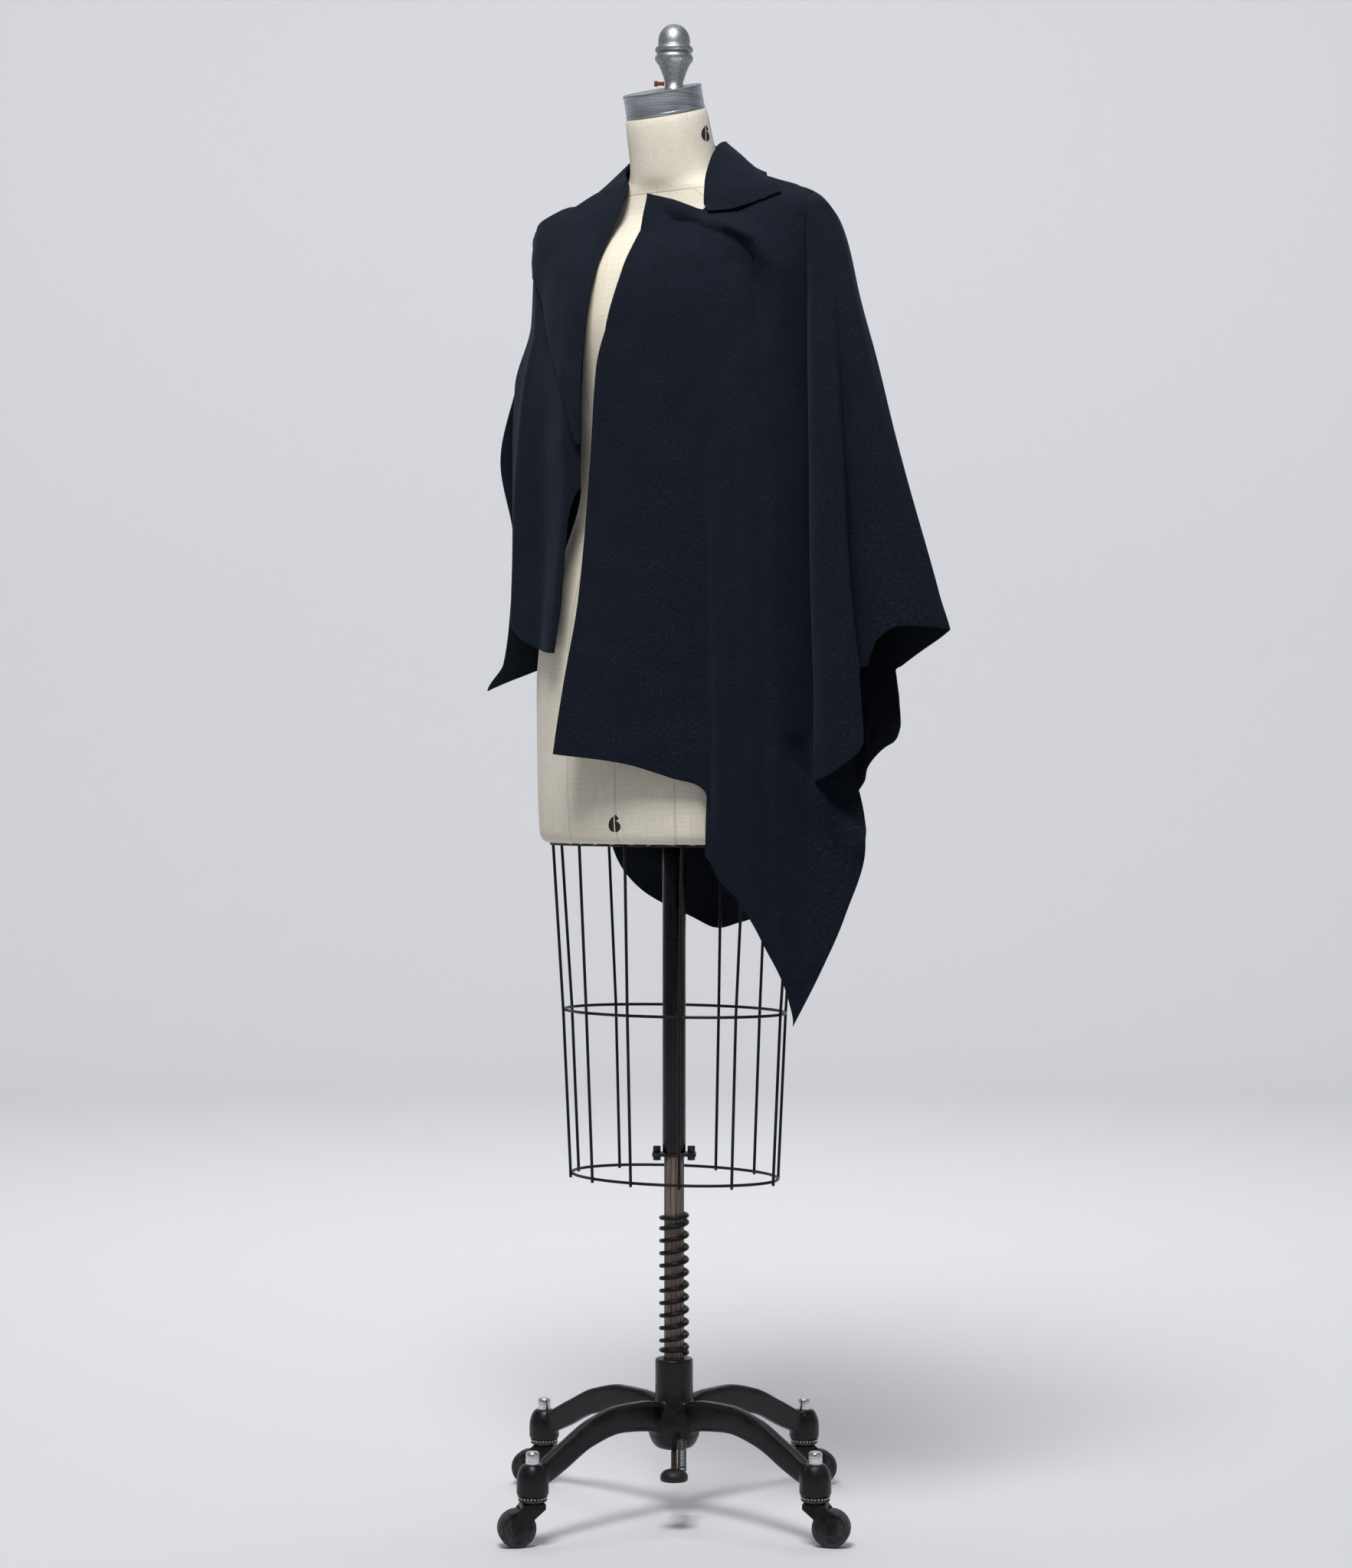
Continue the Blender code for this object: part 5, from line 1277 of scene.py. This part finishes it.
def painted_digit(name, digit, height, at, facing, surface, form):
    """Bold stencilled digit that follows the form's cover, facing out from the pole at an angle."""
    text = bpy.data.curves.new(name, "FONT")
    text.body = digit
    text.align_x, text.align_y = "CENTER", "CENTER"
    text.offset = DIGIT_BOLD
    text.extrude = 0.1
    text.resolution_u = 8
    made = baked(new_object(name, text))
    points = np.array([vertex.co[:] for vertex in made.data.vertices])
    low, high = points.min(axis=0), points.max(axis=0)
    scale = np.array((DIGIT_WIDTH * height, height, DIGIT_RELIEF)) * MM / (high - low)
    for vertex, point in zip(made.data.vertices, (points - (low + high) / 2) * scale):
        vertex.co = point
    stencilled(made, DIGIT_BRIDGE * height * MM)
    out = Vector((cos(facing), sin(facing), 0.0))
    beside = (-out).cross(Vector((0.0, 0.0, 1.0)))
    for vertex in made.data.vertices:
        x, y, z = vertex.co
        start = at + out * 0.2 + beside * x + Vector((0.0, 0.0, y))
        hit = form.ray_cast(start, -out)[0]
        if hit is None:
            raise RuntimeError(f"{name} misses the form's cover")
        vertex.co = hit + out * (z + DIGIT_OFF * MM)
    finished(made, surface, "column", (), 30)


def pin(name, across, height, surface, form):
    """Dressmaker's pin pushed into the form up to its glass head, at a spot seen from the front."""
    start = seen(across, -600, height)
    hit, normal = form.ray_cast(start, seen(0, 1) - seen(0, 0))[:2]
    head = bmesh.new()
    bmesh.ops.create_uvsphere(head, u_segments=16, v_segments=10, radius=PIN_HEAD * MM)
    mesh = bpy.data.meshes.new(name)
    head.to_mesh(mesh)
    head.free()
    for vertex in mesh.vertices:
        vertex.co += hit + normal * PIN_OFF * MM
    finished(new_object(name, mesh), surface, "column", (), 60)


def neck_frame():
    """Middle of the neck cap's foot, and the way that the cap points."""
    height, forward = CAP_FOOT
    up = Vector((0.0, -sin(NECK_LEAN), cos(NECK_LEAN)))
    return on_pole(height * MM) + Vector((0.0, -forward * MM, 0.0)), up


def neck_cap(surface):
    foot, up = neck_frame()
    rings = []
    for rise, shrink in CAP_PROFILE:
        ring = []
        for step in range(FORM_SIDES):
            angle = 2 * pi * step / FORM_SIDES
            x, y = (CAP_HALF[0] - shrink) * cos(angle), (CAP_HALF[1] - shrink) * sin(angle)
            flat = Vector((x, y * cos(NECK_LEAN), y * sin(NECK_LEAN)))
            ring.append(foot + (flat + up * rise) * MM)
        rings.append(ring)
    finished(loft("neck_cap_spun", rings), surface, "column", ("neck_cap",), 35)


def finial(surface):
    """Cast finial: a dome on two beads and a waisted stem that ends on the leaning cap."""
    steps = [radians(10 * k) for k in range(10)]
    dome = [(DOME_RADIUS * sin(a), DOME_FOOT + DOME_HEIGHT * cos(a)) for a in steps]
    profile = tuple(dome) + FINIAL
    top = DOME_FOOT + DOME_HEIGHT
    made = baked(turned("finial_cast", profile, on_pole(FINIAL_TOP - top * MM), 72))
    foot, up = neck_frame()
    build = bmesh.new()
    build.from_mesh(made.data)
    bmesh.ops.remove_doubles(build, verts=build.verts, dist=0.00001)
    everything = build.verts[:] + build.edges[:] + build.faces[:]
    rest_at = foot + up * (CAP_PROFILE[-1][0] * MM)
    cut = bmesh.ops.bisect_plane(build, geom=everything, plane_co=rest_at, plane_no=up, clear_inner=True)
    rim = [item for item in cut["geom_cut"] if isinstance(item, bmesh.types.BMEdge)]
    bmesh.ops.holes_fill(build, edges=rim)
    bmesh.ops.recalc_face_normals(build, faces=build.faces)
    build.to_mesh(made.data)
    build.free()
    finished(made, surface, "column", ("finial",), 40)


def pointed(made, at, along):
    """Moves an object that was made along Z to a place, and turns it to point along a direction."""
    turn = Vector(along).to_track_quat("Z", "Y").to_matrix().to_4x4()
    made.data.transform(Matrix.Translation(at) @ turn)


def thumb_screw(surface):
    """Slotted screw that holds the finial, standing out on the viewer's left."""
    made = baked(turned("finial_screw_rusty", THUMB_SCREW, sides=40))
    side = (seen(-1, 0) - seen(0, 0)).normalized()
    low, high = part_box("finial_screw")
    middle = (low + high) / 2
    pointed(made, middle - side * SCREW_SUNK * MM, side)
    finished(made, surface, "column", ("finial_screw",), 40)


def bottom_board(surface):
    rings = [form_ring(*row) for row in BOARD_RINGS]
    finished(loft("bottom_board_dark", rings), surface, "column", ("form_bottom_board",), 30)


def staples_tree(surface, staples):
    """Wire staples that hold the linen under the form's lower edge, each turned a little differently."""
    tree, given = new_tree(
        "hem_staples", ("Staples", "NodeSocketInt", staples), ("Half width", "NodeSocketFloat", 0.1575),
        ("Half depth", "NodeSocketFloat", 0.1085), ("Length", "NodeSocketFloat", 0.009),
        ("Gauge", "NodeSocketFloat", 0.0009),
    )
    ring = add_node(tree, "GeometryNodeCurvePrimitiveCircle", {"Resolution": 240, "Radius": 1.0})
    oval = add_node(
        tree, "ShaderNodeCombineXYZ", {"Z": 1.0}, {"X": given["Half width"], "Y": given["Half depth"]}
    )
    edge = add_node(
        tree, "GeometryNodeTransform", {"Translation": POLE_AT + Vector((0.0, 0.0, 0.7808))},
        {"Geometry": ring.outputs["Curve"], "Scale": oval.outputs[0]},
    )
    spots = add_node(
        tree, "GeometryNodeCurveToPoints", {"mode": "COUNT"},
        {"Curve": edge.outputs[0], "Count": given["Staples"]},
    )
    size = add_node(
        tree, "ShaderNodeCombineXYZ", None, {"X": given["Gauge"], "Y": given["Gauge"], "Z": given["Length"]}
    )
    bar = add_node(tree, "GeometryNodeMeshCube", None, {"Size": size.outputs[0]})
    tilt = add_node(tree, "FunctionNodeRandomValue", {"data_type": "FLOAT_VECTOR", "Seed": 7})
    tilt.inputs["Min"].default_value = (-0.35, -0.08, 0.0)
    tilt.inputs["Max"].default_value = (0.35, 0.08, 0.0)
    turn = add_node(
        tree, "FunctionNodeRotateRotation", {"rotation_space": "LOCAL"},
        {"Rotation": spots.outputs["Rotation"], "Rotate By": tilt.outputs[0]},
    )
    stapled = add_node(
        tree, "GeometryNodeInstanceOnPoints", None,
        {"Points": spots.outputs["Points"], "Instance": bar.outputs[0], "Rotation": turn.outputs[0]},
    )
    return close_tree(tree, stapled.outputs[0], surface)


def rod(name, points, radius, sides=20):
    """Round rod along a smooth line through points."""
    steps = np.linspace(0, len(points) - 1, 10 * len(points))
    line = [Vector(spot) for spot in smooth(range(len(points)), [tuple(point) for point in points], steps)]
    rings = []
    for k, point in enumerate(line):
        along = (line[min(k + 1, len(line) - 1)] - line[max(k - 1, 0)]).normalized()
        turn = along.to_track_quat("Z", "Y")
        rings.append([
            point + turn @ Vector((cos(2 * pi * s / sides), sin(2 * pi * s / sides), 0.0)) * radius
            for s in range(sides)
        ])
    return loft(name, rings)


def joined(name, pieces):
    """One mesh object of several."""
    build = bmesh.new()
    for piece in pieces:
        build.from_mesh(piece.data)
        bpy.data.objects.remove(piece)
    mesh = bpy.data.meshes.new(name)
    build.to_mesh(mesh)
    build.free()
    return new_object(name, mesh)


def leg_ring(direction, reach, height, half_height, half_width, sides=28):
    """Section of a leg: a rectangle with large soft corners."""
    sideways = Vector((-direction.y, direction.x, 0.0))
    centre = on_pole(height * MM) + direction * reach * MM
    ring = []
    for step in range(sides):
        a, b = cos(2 * pi * step / sides), sin(2 * pi * step / sides)
        a, b = (abs(a) ** 0.42 * (1 if a > 0 else -1), abs(b) ** 0.42 * (1 if b > 0 else -1))
        ring.append(centre + (sideways * half_width * a + Vector((0, 0, half_height * b))) * MM)
    return ring


def stem_at(across, depth):
    return seen(across * CASTER_REACH[0], depth * CASTER_REACH[1])


def cast_base(surface):
    """Four-legged iron base: legs, bells and hub poured as one, with soft inner corners."""
    pieces = [baked(turned("hub", HUB, on_pole(), 72))]
    table = np.array(LEG, float)
    reaches = np.linspace(LEG[0][0], LEG[-1][0], 36)
    rows = smooth(table[:, 0], table[:, 1:], reaches)
    for name, across, depth, _ in CASTERS:
        stem = stem_at(across, depth)
        direction = (stem - on_pole()).normalized()
        pieces.append(loft("leg", [leg_ring(direction, reach, *row) for reach, row in zip(reaches, rows)]))
        pieces.append(baked(turned("bell", BELL, stem, 56)))
    made = joined("cast_iron_base", pieces)
    skin = made.modifiers.new("Poured", "REMESH")
    skin.mode = "VOXEL"
    skin.voxel_size = POURED_STEP * MM
    melt = made.modifiers.new("Soft", "SMOOTH")
    melt.factor = 0.5
    melt.iterations = 6
    finished(baked(made), surface, "base", ("cast_base",))


def casters(iron, chrome, race_steel, ball_steel, rubber):
    """Plated stems, ball races, forks and moulded wheels: stems and races on the base's body, forks and
    wheels each on a body of its own.
    """
    half = [(radius, width) for radius, width in WHEEL]
    tread = half + [(radius, -width) for radius, width in reversed(half)] + half[:1]
    for name, across, depth, trail in CASTERS:
        stem = stem_at(across, depth)
        made = baked(turned("stem_plated_" + name, STEM, stem, 40))
        finished(made, chrome, "base", ("stem_" + name,), 40)
        made = baked(turned("race_cups_" + name, RACE, stem, 48))
        finished(made, race_steel, "base", ("race_" + name,), 35)
        balls = grown(
            "race_balls_" + name, balls_tree(ball_steel, BALL_RING * MM, BALL_RADIUS * MM, BALL_COUNT),
            {"Place": (stem.x, stem.y, BALL_HEIGHT * MM)},
        )
        finished(balls, ball_steel, "base")
        fork = from_node("fork_" + name, "fork_rounded_" + name, 0.9)
        finished(fork, iron, "caster_" + name, ("fork_" + name,), 40)

        turn = SEEN_FROM + radians(trail)
        axle = stem + Vector((cos(turn), sin(turn), 0.0)) * WHEEL_TRAIL * MM
        axle.z = WHEEL_RADIUS * MM
        wheel = turned("wheel_moulded_" + name, tread, axle, 72)
        wheel.rotation_euler = (pi / 2, 0.0, turn)
        finished(baked(wheel), rubber, "roller_" + name, ("wheel_" + name,), 35)


def column(black, worn, clamp, spring_black, sizes):
    """Painted sleeve, worn pole, clamp plate with its two bolts, and the lifting spring."""
    sleeve = (
        (0, SLEEVE_TOP), (SLEEVE_RADIUS, SLEEVE_TOP), (SLEEVE_RADIUS, SLEEVE_BOTTOM), (0, SLEEVE_BOTTOM),
    )
    made = baked(turned("column_sleeve_painted", sleeve, on_pole(), 64, 0.6))
    finished(made, black, "column", ("column_sleeve",), 40)
    pole_top = SLEEVE_BOTTOM - CLEAR
    pole = ((0, pole_top), (POLE_RADIUS, pole_top), (POLE_RADIUS, POLE_BOTTOM), (0, POLE_BOTTOM))
    made = baked(turned("pole_turned", pole, on_pole(), 64, 0.5))
    finished(made, worn, "column", ("pole",), 40)
    plate = from_node("clamp_plate", "clamp_plate_steel", 0.5)
    finished(plate, clamp, "column", ("clamp_plate",), 35)
    for side, name in ((-1, "clamp_bolt_left"), (1, "clamp_bolt_right")):
        at = seen(side * BOLT_OFF, 0.0, CLAMP_BOTTOM)
        made = baked(turned(name + "_hex", BOLT, at, 6, 0.5))
        finished(made, clamp, "column", (name,), 25)
    low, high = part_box("column_spring")
    wire = sizes.coil_wire
    height, closed = high.z - low.z - 2 * wire, CLOSED_PITCH * wire
    turns = (height - 2 * closed) / sizes.coil_pitch + 2
    coil = {
        "Radius": COIL_RADIUS * MM, "Wire": wire, "Height": height, "Turns": turns, "Closed pitch": closed,
    }
    made = grown("column_spring_coiled", coil_tree(spring_black), coil)
    made.data.transform(Matrix.Translation(on_pole(low.z + wire)))
    finished(made, spring_black, "base", ("column_spring",))


def pedal(brown, black, spring_black):
    """Foot pedal: a bent arm, a domed pad and the small spring that holds it up."""
    made = rod("pedal_arm_bent", [seen(*spot) for spot in PEDAL_ARM], PEDAL_ARM_RADIUS * MM)
    finished(made, brown, "pedal", ("pedal_arm",), 50)
    made = baked(turned("pedal_pad_domed", PEDAL_PAD, seen(0, -PEDAL_REACH), 56))
    finished(made, black, "pedal", ("pedal_pad",), 40)
    top, foot = seen(9, -40, 92), seen(9, -75, 67)
    sizes = {
        "Radius": 4.4 * MM, "Wire": 0.75 * MM, "Height": (top - foot).length, "Turns": 15.0,
        "Closed pitch": 1.6 * MM,
    }
    coil = grown("pedal_spring", bpy.data.node_groups["coil"], sizes)
    pointed(coil, foot, top - foot)
    finished(coil, spring_black, "pedal")


# Studio
def studio_wall(surface):
    """Pale seamless floor that curves up into a round wall, far enough off for every view."""
    cove, radius, top, sides = 1500.0, 6800.0, 7000.0, 96
    rows = [(900.0, 0.0), (radius - cove, 0.0)]
    for k in range(1, 13):
        a = radians(7.5 * k)
        rows.append((radius - cove + cove * sin(a), cove - cove * cos(a)))
    rows.append((radius, top))
    points = [
        (radius_at * cos(2 * pi * s / sides) * MM, radius_at * sin(2 * pi * s / sides) * MM, height * MM)
        for radius_at, height in rows for s in range(sides)
    ]
    faces = [tuple(range(sides))]
    for level in range(len(rows) - 1):
        for s in range(sides):
            after = (s + 1) % sides
            low, high = level * sides, (level + 1) * sides
            faces.append((low + s, high + s, high + after, low + after))
    made = new_object("studio_floor", mesh_from("studio_floor", points, faces))
    made.data.materials.append(surface)
    made.data.shade_smooth()


def softbox(name, at, target, size, watts, colour):
    """Large soft light."""
    light = bpy.data.lights.new(name, "AREA")
    light.shape = "RECTANGLE"
    light.size, light.size_y = size
    light.energy = watts
    light.color = linear(colour)[:3]
    made = new_object(name, light)
    made.location = at
    made.rotation_euler = (Vector(target) - Vector(at)).to_track_quat("-Z", "Y").to_euler()
    made.visible_camera = False


def photo_camera():
    """Level camera 3.8 m off, at the photograph's angle."""
    camera = bpy.data.cameras.new("camera")
    camera.lens = 75.0
    camera.sensor_width = 36.0
    made = new_object("camera", camera)
    made.location = seen(2.2, -3800, 849.4)
    made.rotation_euler = (pi / 2, 0.0, SEEN_FROM)
    bpy.context.scene.camera = made


# Sizes and colours that can be changed, and the steps that use them
def colour_choice(name, description, hex_colour):
    """Colour that a user can change."""
    return bpy.props.FloatVectorProperty(
        name=name, description=description, subtype="COLOR", size=3, default=linear(hex_colour)[:3], min=0.0,
        max=1.0,
    )


class WoolSettings(bpy.types.PropertyGroup):
    """Finish of the jacket's wool."""

    shade: colour_choice("Shade", "Colour of the ground between the fibres", "#090C12")
    light: colour_choice("Light", "Colour of the raised fibres", "#1C2432")
    sheen: bpy.props.FloatProperty(
        name="Sheen", description="Strength of the nap's bloom", default=0.07, min=0.0, max=1.0,
        subtype="FACTOR",
    )
    off_form: bpy.props.FloatProperty(
        name="Off the form", description="From the form to the middle of the wool", default=0.006, min=0.002,
        max=0.02, unit="LENGTH",
    )


class FormSettings(bpy.types.PropertyGroup):
    """Dress form's cover and its marking."""

    linen: colour_choice("Linen", "Colour of the canvas", "#DCD6C8")
    size_digit: bpy.props.StringProperty(
        name="Size", description="Digit stencilled on the front and on the neck", default="6", maxlen=2
    )
    staples: bpy.props.IntProperty(
        name="Staples", description="How many staples hold the linen's lower edge", default=34, min=0, max=120
    )


class StandSettings(bpy.types.PropertyGroup):
    """Caster stand's springs and skirt cage."""

    coil_wire: bpy.props.FloatProperty(
        name="Spring wire", description="Radius of the lifting spring's wire", default=0.0025, min=0.001,
        max=0.004, unit="LENGTH",
    )
    coil_pitch: bpy.props.FloatProperty(
        name="Spring pitch", description="Rise of the lifting spring for each open turn", default=0.0145,
        min=0.006, max=0.03, unit="LENGTH",
    )
    cage_wires: bpy.props.IntProperty(
        name="Cage wires", description="Upright wires of the skirt cage", default=12, min=6, max=24
    )


class StudioSettings(bpy.types.PropertyGroup):
    """Floor and light."""

    backdrop: colour_choice("Backdrop", "Colour of the seamless floor and wall", "#DCDDE0")
    key_power: bpy.props.FloatProperty(
        name="Key light", description="Power of the high light at the left, in watts", default=110.0,
        min=0.0, max=2000.0,
    )


def hex_of(colour):
    """sRGB hex value of a linear colour."""
    parts = [12.92 * c if c <= 0.0031308 else 1.055 * c ** (1 / 2.4) - 0.055 for c in colour]
    return "#" + "".join("%02X" % round(255 * min(max(c, 0.0), 1.0)) for c in parts)


class JACKET_OT_dress_form(bpy.types.Operator):
    """Build the linen-covered form with its bottom board, staples and stencilled size"""

    bl_idname = "jacket.dress_form"
    bl_label = "Dress form"

    def execute(self, context):
        sizes = context.scene.jacket_form
        linen = form_linen("plain_linen_canvas", hex_of(sizes.linen), "#6F6656")
        board = matt_surface("black_stained_board", "#15120F", "#332C26", 0.7, 60.0)
        ink = matt_surface("stencil_ink", "#161111", "#2C2523", 0.75, 900.0, 0.00005)
        staple_wire = bare_metal(
            "galvanised_staple_wire", "#A7A59C", "#D8D6CE", 0.4, 500.0, (1, 1, 1), 0.00005
        )
        form_cover(linen)
        bottom_board(board)
        staples = grown("form_staples", staples_tree(staple_wire, sizes.staples), {})
        finished(staples, staple_wire, "column")
        form = form_tree()
        painted_digit("size_on_front", sizes.size_digit, 20.0, on_pole(0.8047), -pi / 2 - 0.02, ink, form)
        painted_digit("size_on_neck", sizes.size_digit, 19.0, on_pole(1.5996), radians(-12), ink, form)
        glass = enamel("black_glass_pin_head", "#0A0908", "#15120F", 0.15, 0.0)
        pin("neck_pin_head", -20, 1525, glass, form)
        return {"FINISHED"}


class JACKET_OT_neck(bpy.types.Operator):
    """Build the spun neck cap, the cast finial and its screw"""

    bl_idname = "jacket.neck"
    bl_label = "Neck cap and finial"

    def execute(self, context):
        spun = bare_metal("spun_aluminium", "#6E757C", "#C9CDD0", 0.26, 60.0, (0.25, 0.25, 22.0), 0.00006)
        cast = bare_metal("sand_cast_aluminium", "#7C7F80", "#B9BBBA", 0.42, 420.0, (1, 1, 1), 0.0004)
        rust = matt_surface("rusted_steel_screw", "#3B1F12", "#8A4A26", 0.8, 700.0)
        neck_cap(spun)
        finial(cast)
        thumb_screw(rust)
        return {"FINISHED"}


class JACKET_OT_wool(bpy.types.Operator):
    """Build the seven cut pieces of the jacket, lying on the form and on each other"""

    bl_idname = "jacket.wool"
    bl_label = "Wool jacket"

    def execute(self, context):
        sizes = context.scene.jacket_wool
        wool = wool_flannel("milled_wool_flannel", hex_of(sizes.shade), hex_of(sizes.light), sizes.sheen)
        hang_jacket(wool, form_tree(), sizes.off_form)
        return {"FINISHED"}


class JACKET_OT_column(bpy.types.Operator):
    """Build the column: sleeve, pole, clamp and lifting spring"""

    bl_idname = "jacket.column"
    bl_label = "Column"

    def execute(self, context):
        sizes = context.scene.jacket_stand
        black = enamel("black_stove_enamel_tube", "#030304", "#08080A", 0.16, -0.1, relief=0.00008)
        clamp = enamel("blued_steel_clamp", "#1B1B1D", "#57575A", 0.36, 0.02, 0.8)
        coil_black = enamel("black_lacquered_spring_wire", "#080707", "#1C1A19", 0.3, 0.03, 0.4, 90.0)
        column(black, worn_pole_paint("worn_brown_black_lacquer"), clamp, coil_black, sizes)
        return {"FINISHED"}


class JACKET_OT_cage(bpy.types.Operator):
    """Build the wire skirt cage under the form"""

    bl_idname = "jacket.cage"
    bl_label = "Skirt cage"

    def execute(self, context):
        wire = enamel("black_japanned_cage_wire", "#08090A", "#1B1C1F", 0.3, 0.02, 0.3, 70.0)
        tree = cage_tree(wire, context.scene.jacket_stand.cage_wires)
        finished(grown("skirt_cage_wires", tree, {}), wire, "column", CAGE_NODES)
        return {"FINISHED"}


class JACKET_OT_base(bpy.types.Operator):
    """Build the cast base"""

    bl_idname = "jacket.base"
    bl_label = "Cast base"

    def execute(self, context):
        cast_base(enamel("black_enamelled_cast_iron", "#060607", "#17181A", 0.22, 0.012, 0.0, 38.0, 0.0006))
        return {"FINISHED"}


class JACKET_OT_casters(bpy.types.Operator):
    """Build the four casters"""

    bl_idname = "jacket.casters"
    bl_label = "Casters"

    def execute(self, context):
        iron = enamel("black_enamelled_fork_steel", "#08080A", "#1E1D1D", 0.32, 0.03, 0.2, 120.0)
        chrome = bare_metal("nickel_chrome_plate", "#B9BBBD", "#E6E6E6", 0.16, 200.0, (1, 1, 3.0), 0.00003)
        race_steel = bare_metal("oiled_pressed_steel", "#2A2624", "#6B6661", 0.38, 300.0, (1, 1, 2.0), 0.0001)
        balls = bare_metal("hardened_steel_balls", "#B5AFA4", "#E4DFD6", 0.25, 400.0, (1, 1, 1), 0.00003)
        rubber = matt_surface("hard_grey_rubber", "#232325", "#3C3C3E", 0.62, 170.0)
        casters(iron, chrome, race_steel, balls, rubber)
        return {"FINISHED"}


class JACKET_OT_pedal(bpy.types.Operator):
    """Build the foot pedal"""

    bl_idname = "jacket.pedal"
    bl_label = "Foot pedal"

    def execute(self, context):
        brown = enamel("rubbed_brown_black_enamel", "#1E1512", "#57412F", 0.4, 0.04, 0.3, 140.0)
        black = enamel("black_enamel_pad", "#0B0B0C", "#2B2A2A", 0.3, 0.03)
        coil_steel = bare_metal("oiled_spring_steel", "#3A3835", "#84817B", 0.34, 500.0, (1, 1, 1), 0.00004)
        pedal(brown, black, coil_steel)
        return {"FINISHED"}


class JACKET_OT_studio(bpy.types.Operator):
    """Build the pale floor, the soft lights and the camera"""

    bl_idname = "jacket.studio"
    bl_label = "Studio"

    def execute(self, context):
        sizes = context.scene.jacket_studio
        colour = hex_of(sizes.backdrop)
        studio_wall(matt_surface("matt_backdrop_paper", colour, colour, 0.95, 3.0, 0.0))
        target = seen(0, 0, 950)
        softbox("key_light", seen(-350, -1800, 3650), target, (1.2, 1.2), sizes.key_power, "#FFFFFF")
        softbox("fill_light", seen(2600, -2300, 1500), target, (2.6, 2.6), sizes.key_power * 0.04, "#F4F7FF")
        softbox("top_light", seen(-200, 700, 3900), target, (3.0, 2.0), sizes.key_power * 0.1, "#FFFFFF")
        wall = seen(0, 6500, 1500)
        softbox("backdrop_light", seen(0, 1500, 4300), wall, (4.0, 1.5), sizes.key_power * 1.6, "#FFFFFF")
        world = bpy.data.worlds.new("studio_air")
        world.use_nodes = True
        world.node_tree.nodes["Background"].inputs["Color"].default_value = linear("#E6E8EC")
        world.node_tree.nodes["Background"].inputs["Strength"].default_value = 0.22
        context.scene.world = world
        context.scene.view_settings.view_transform = "Standard"
        photo_camera()
        return {"FINISHED"}


class JACKET_PT_panel(bpy.types.Panel):
    """Sizes, colours and steps of the jacket on its form"""

    bl_idname = "JACKET_PT_panel"
    bl_label = "Draped jacket"
    bl_space_type = "VIEW_3D"
    bl_region_type = "UI"
    bl_category = "Jacket"

    def draw(self, context):
        for name, settings in SETTINGS.items():
            group = getattr(context.scene, name)
            for key in settings.__annotations__:
                self.layout.prop(group, key)
        for step in STEPS:
            self.layout.operator(step.bl_idname)


SETTINGS = {
    "jacket_wool": WoolSettings, "jacket_form": FormSettings, "jacket_stand": StandSettings,
    "jacket_studio": StudioSettings,
}
STEPS = (
    JACKET_OT_dress_form, JACKET_OT_neck, JACKET_OT_wool, JACKET_OT_column, JACKET_OT_cage, JACKET_OT_base,
    JACKET_OT_casters, JACKET_OT_pedal, JACKET_OT_studio,
)


def register():
    for part in (*SETTINGS.values(), *STEPS, JACKET_PT_panel):
        bpy.utils.register_class(part)
    for name, settings in SETTINGS.items():
        setattr(bpy.types.Scene, name, bpy.props.PointerProperty(type=settings))


def unregister():
    for name in SETTINGS:
        delattr(bpy.types.Scene, name)
    for part in reversed((*SETTINGS.values(), *STEPS, JACKET_PT_panel)):
        bpy.utils.unregister_class(part)


def main():
    register()
    bpy.ops.jacket.dress_form()
    bpy.ops.jacket.neck()
    bpy.ops.jacket.wool()
    bpy.ops.jacket.column()
    bpy.ops.jacket.cage()
    bpy.ops.jacket.base()
    bpy.ops.jacket.casters()
    bpy.ops.jacket.pedal()
    bpy.ops.jacket.studio()


if __name__ == "__main__":
    main()
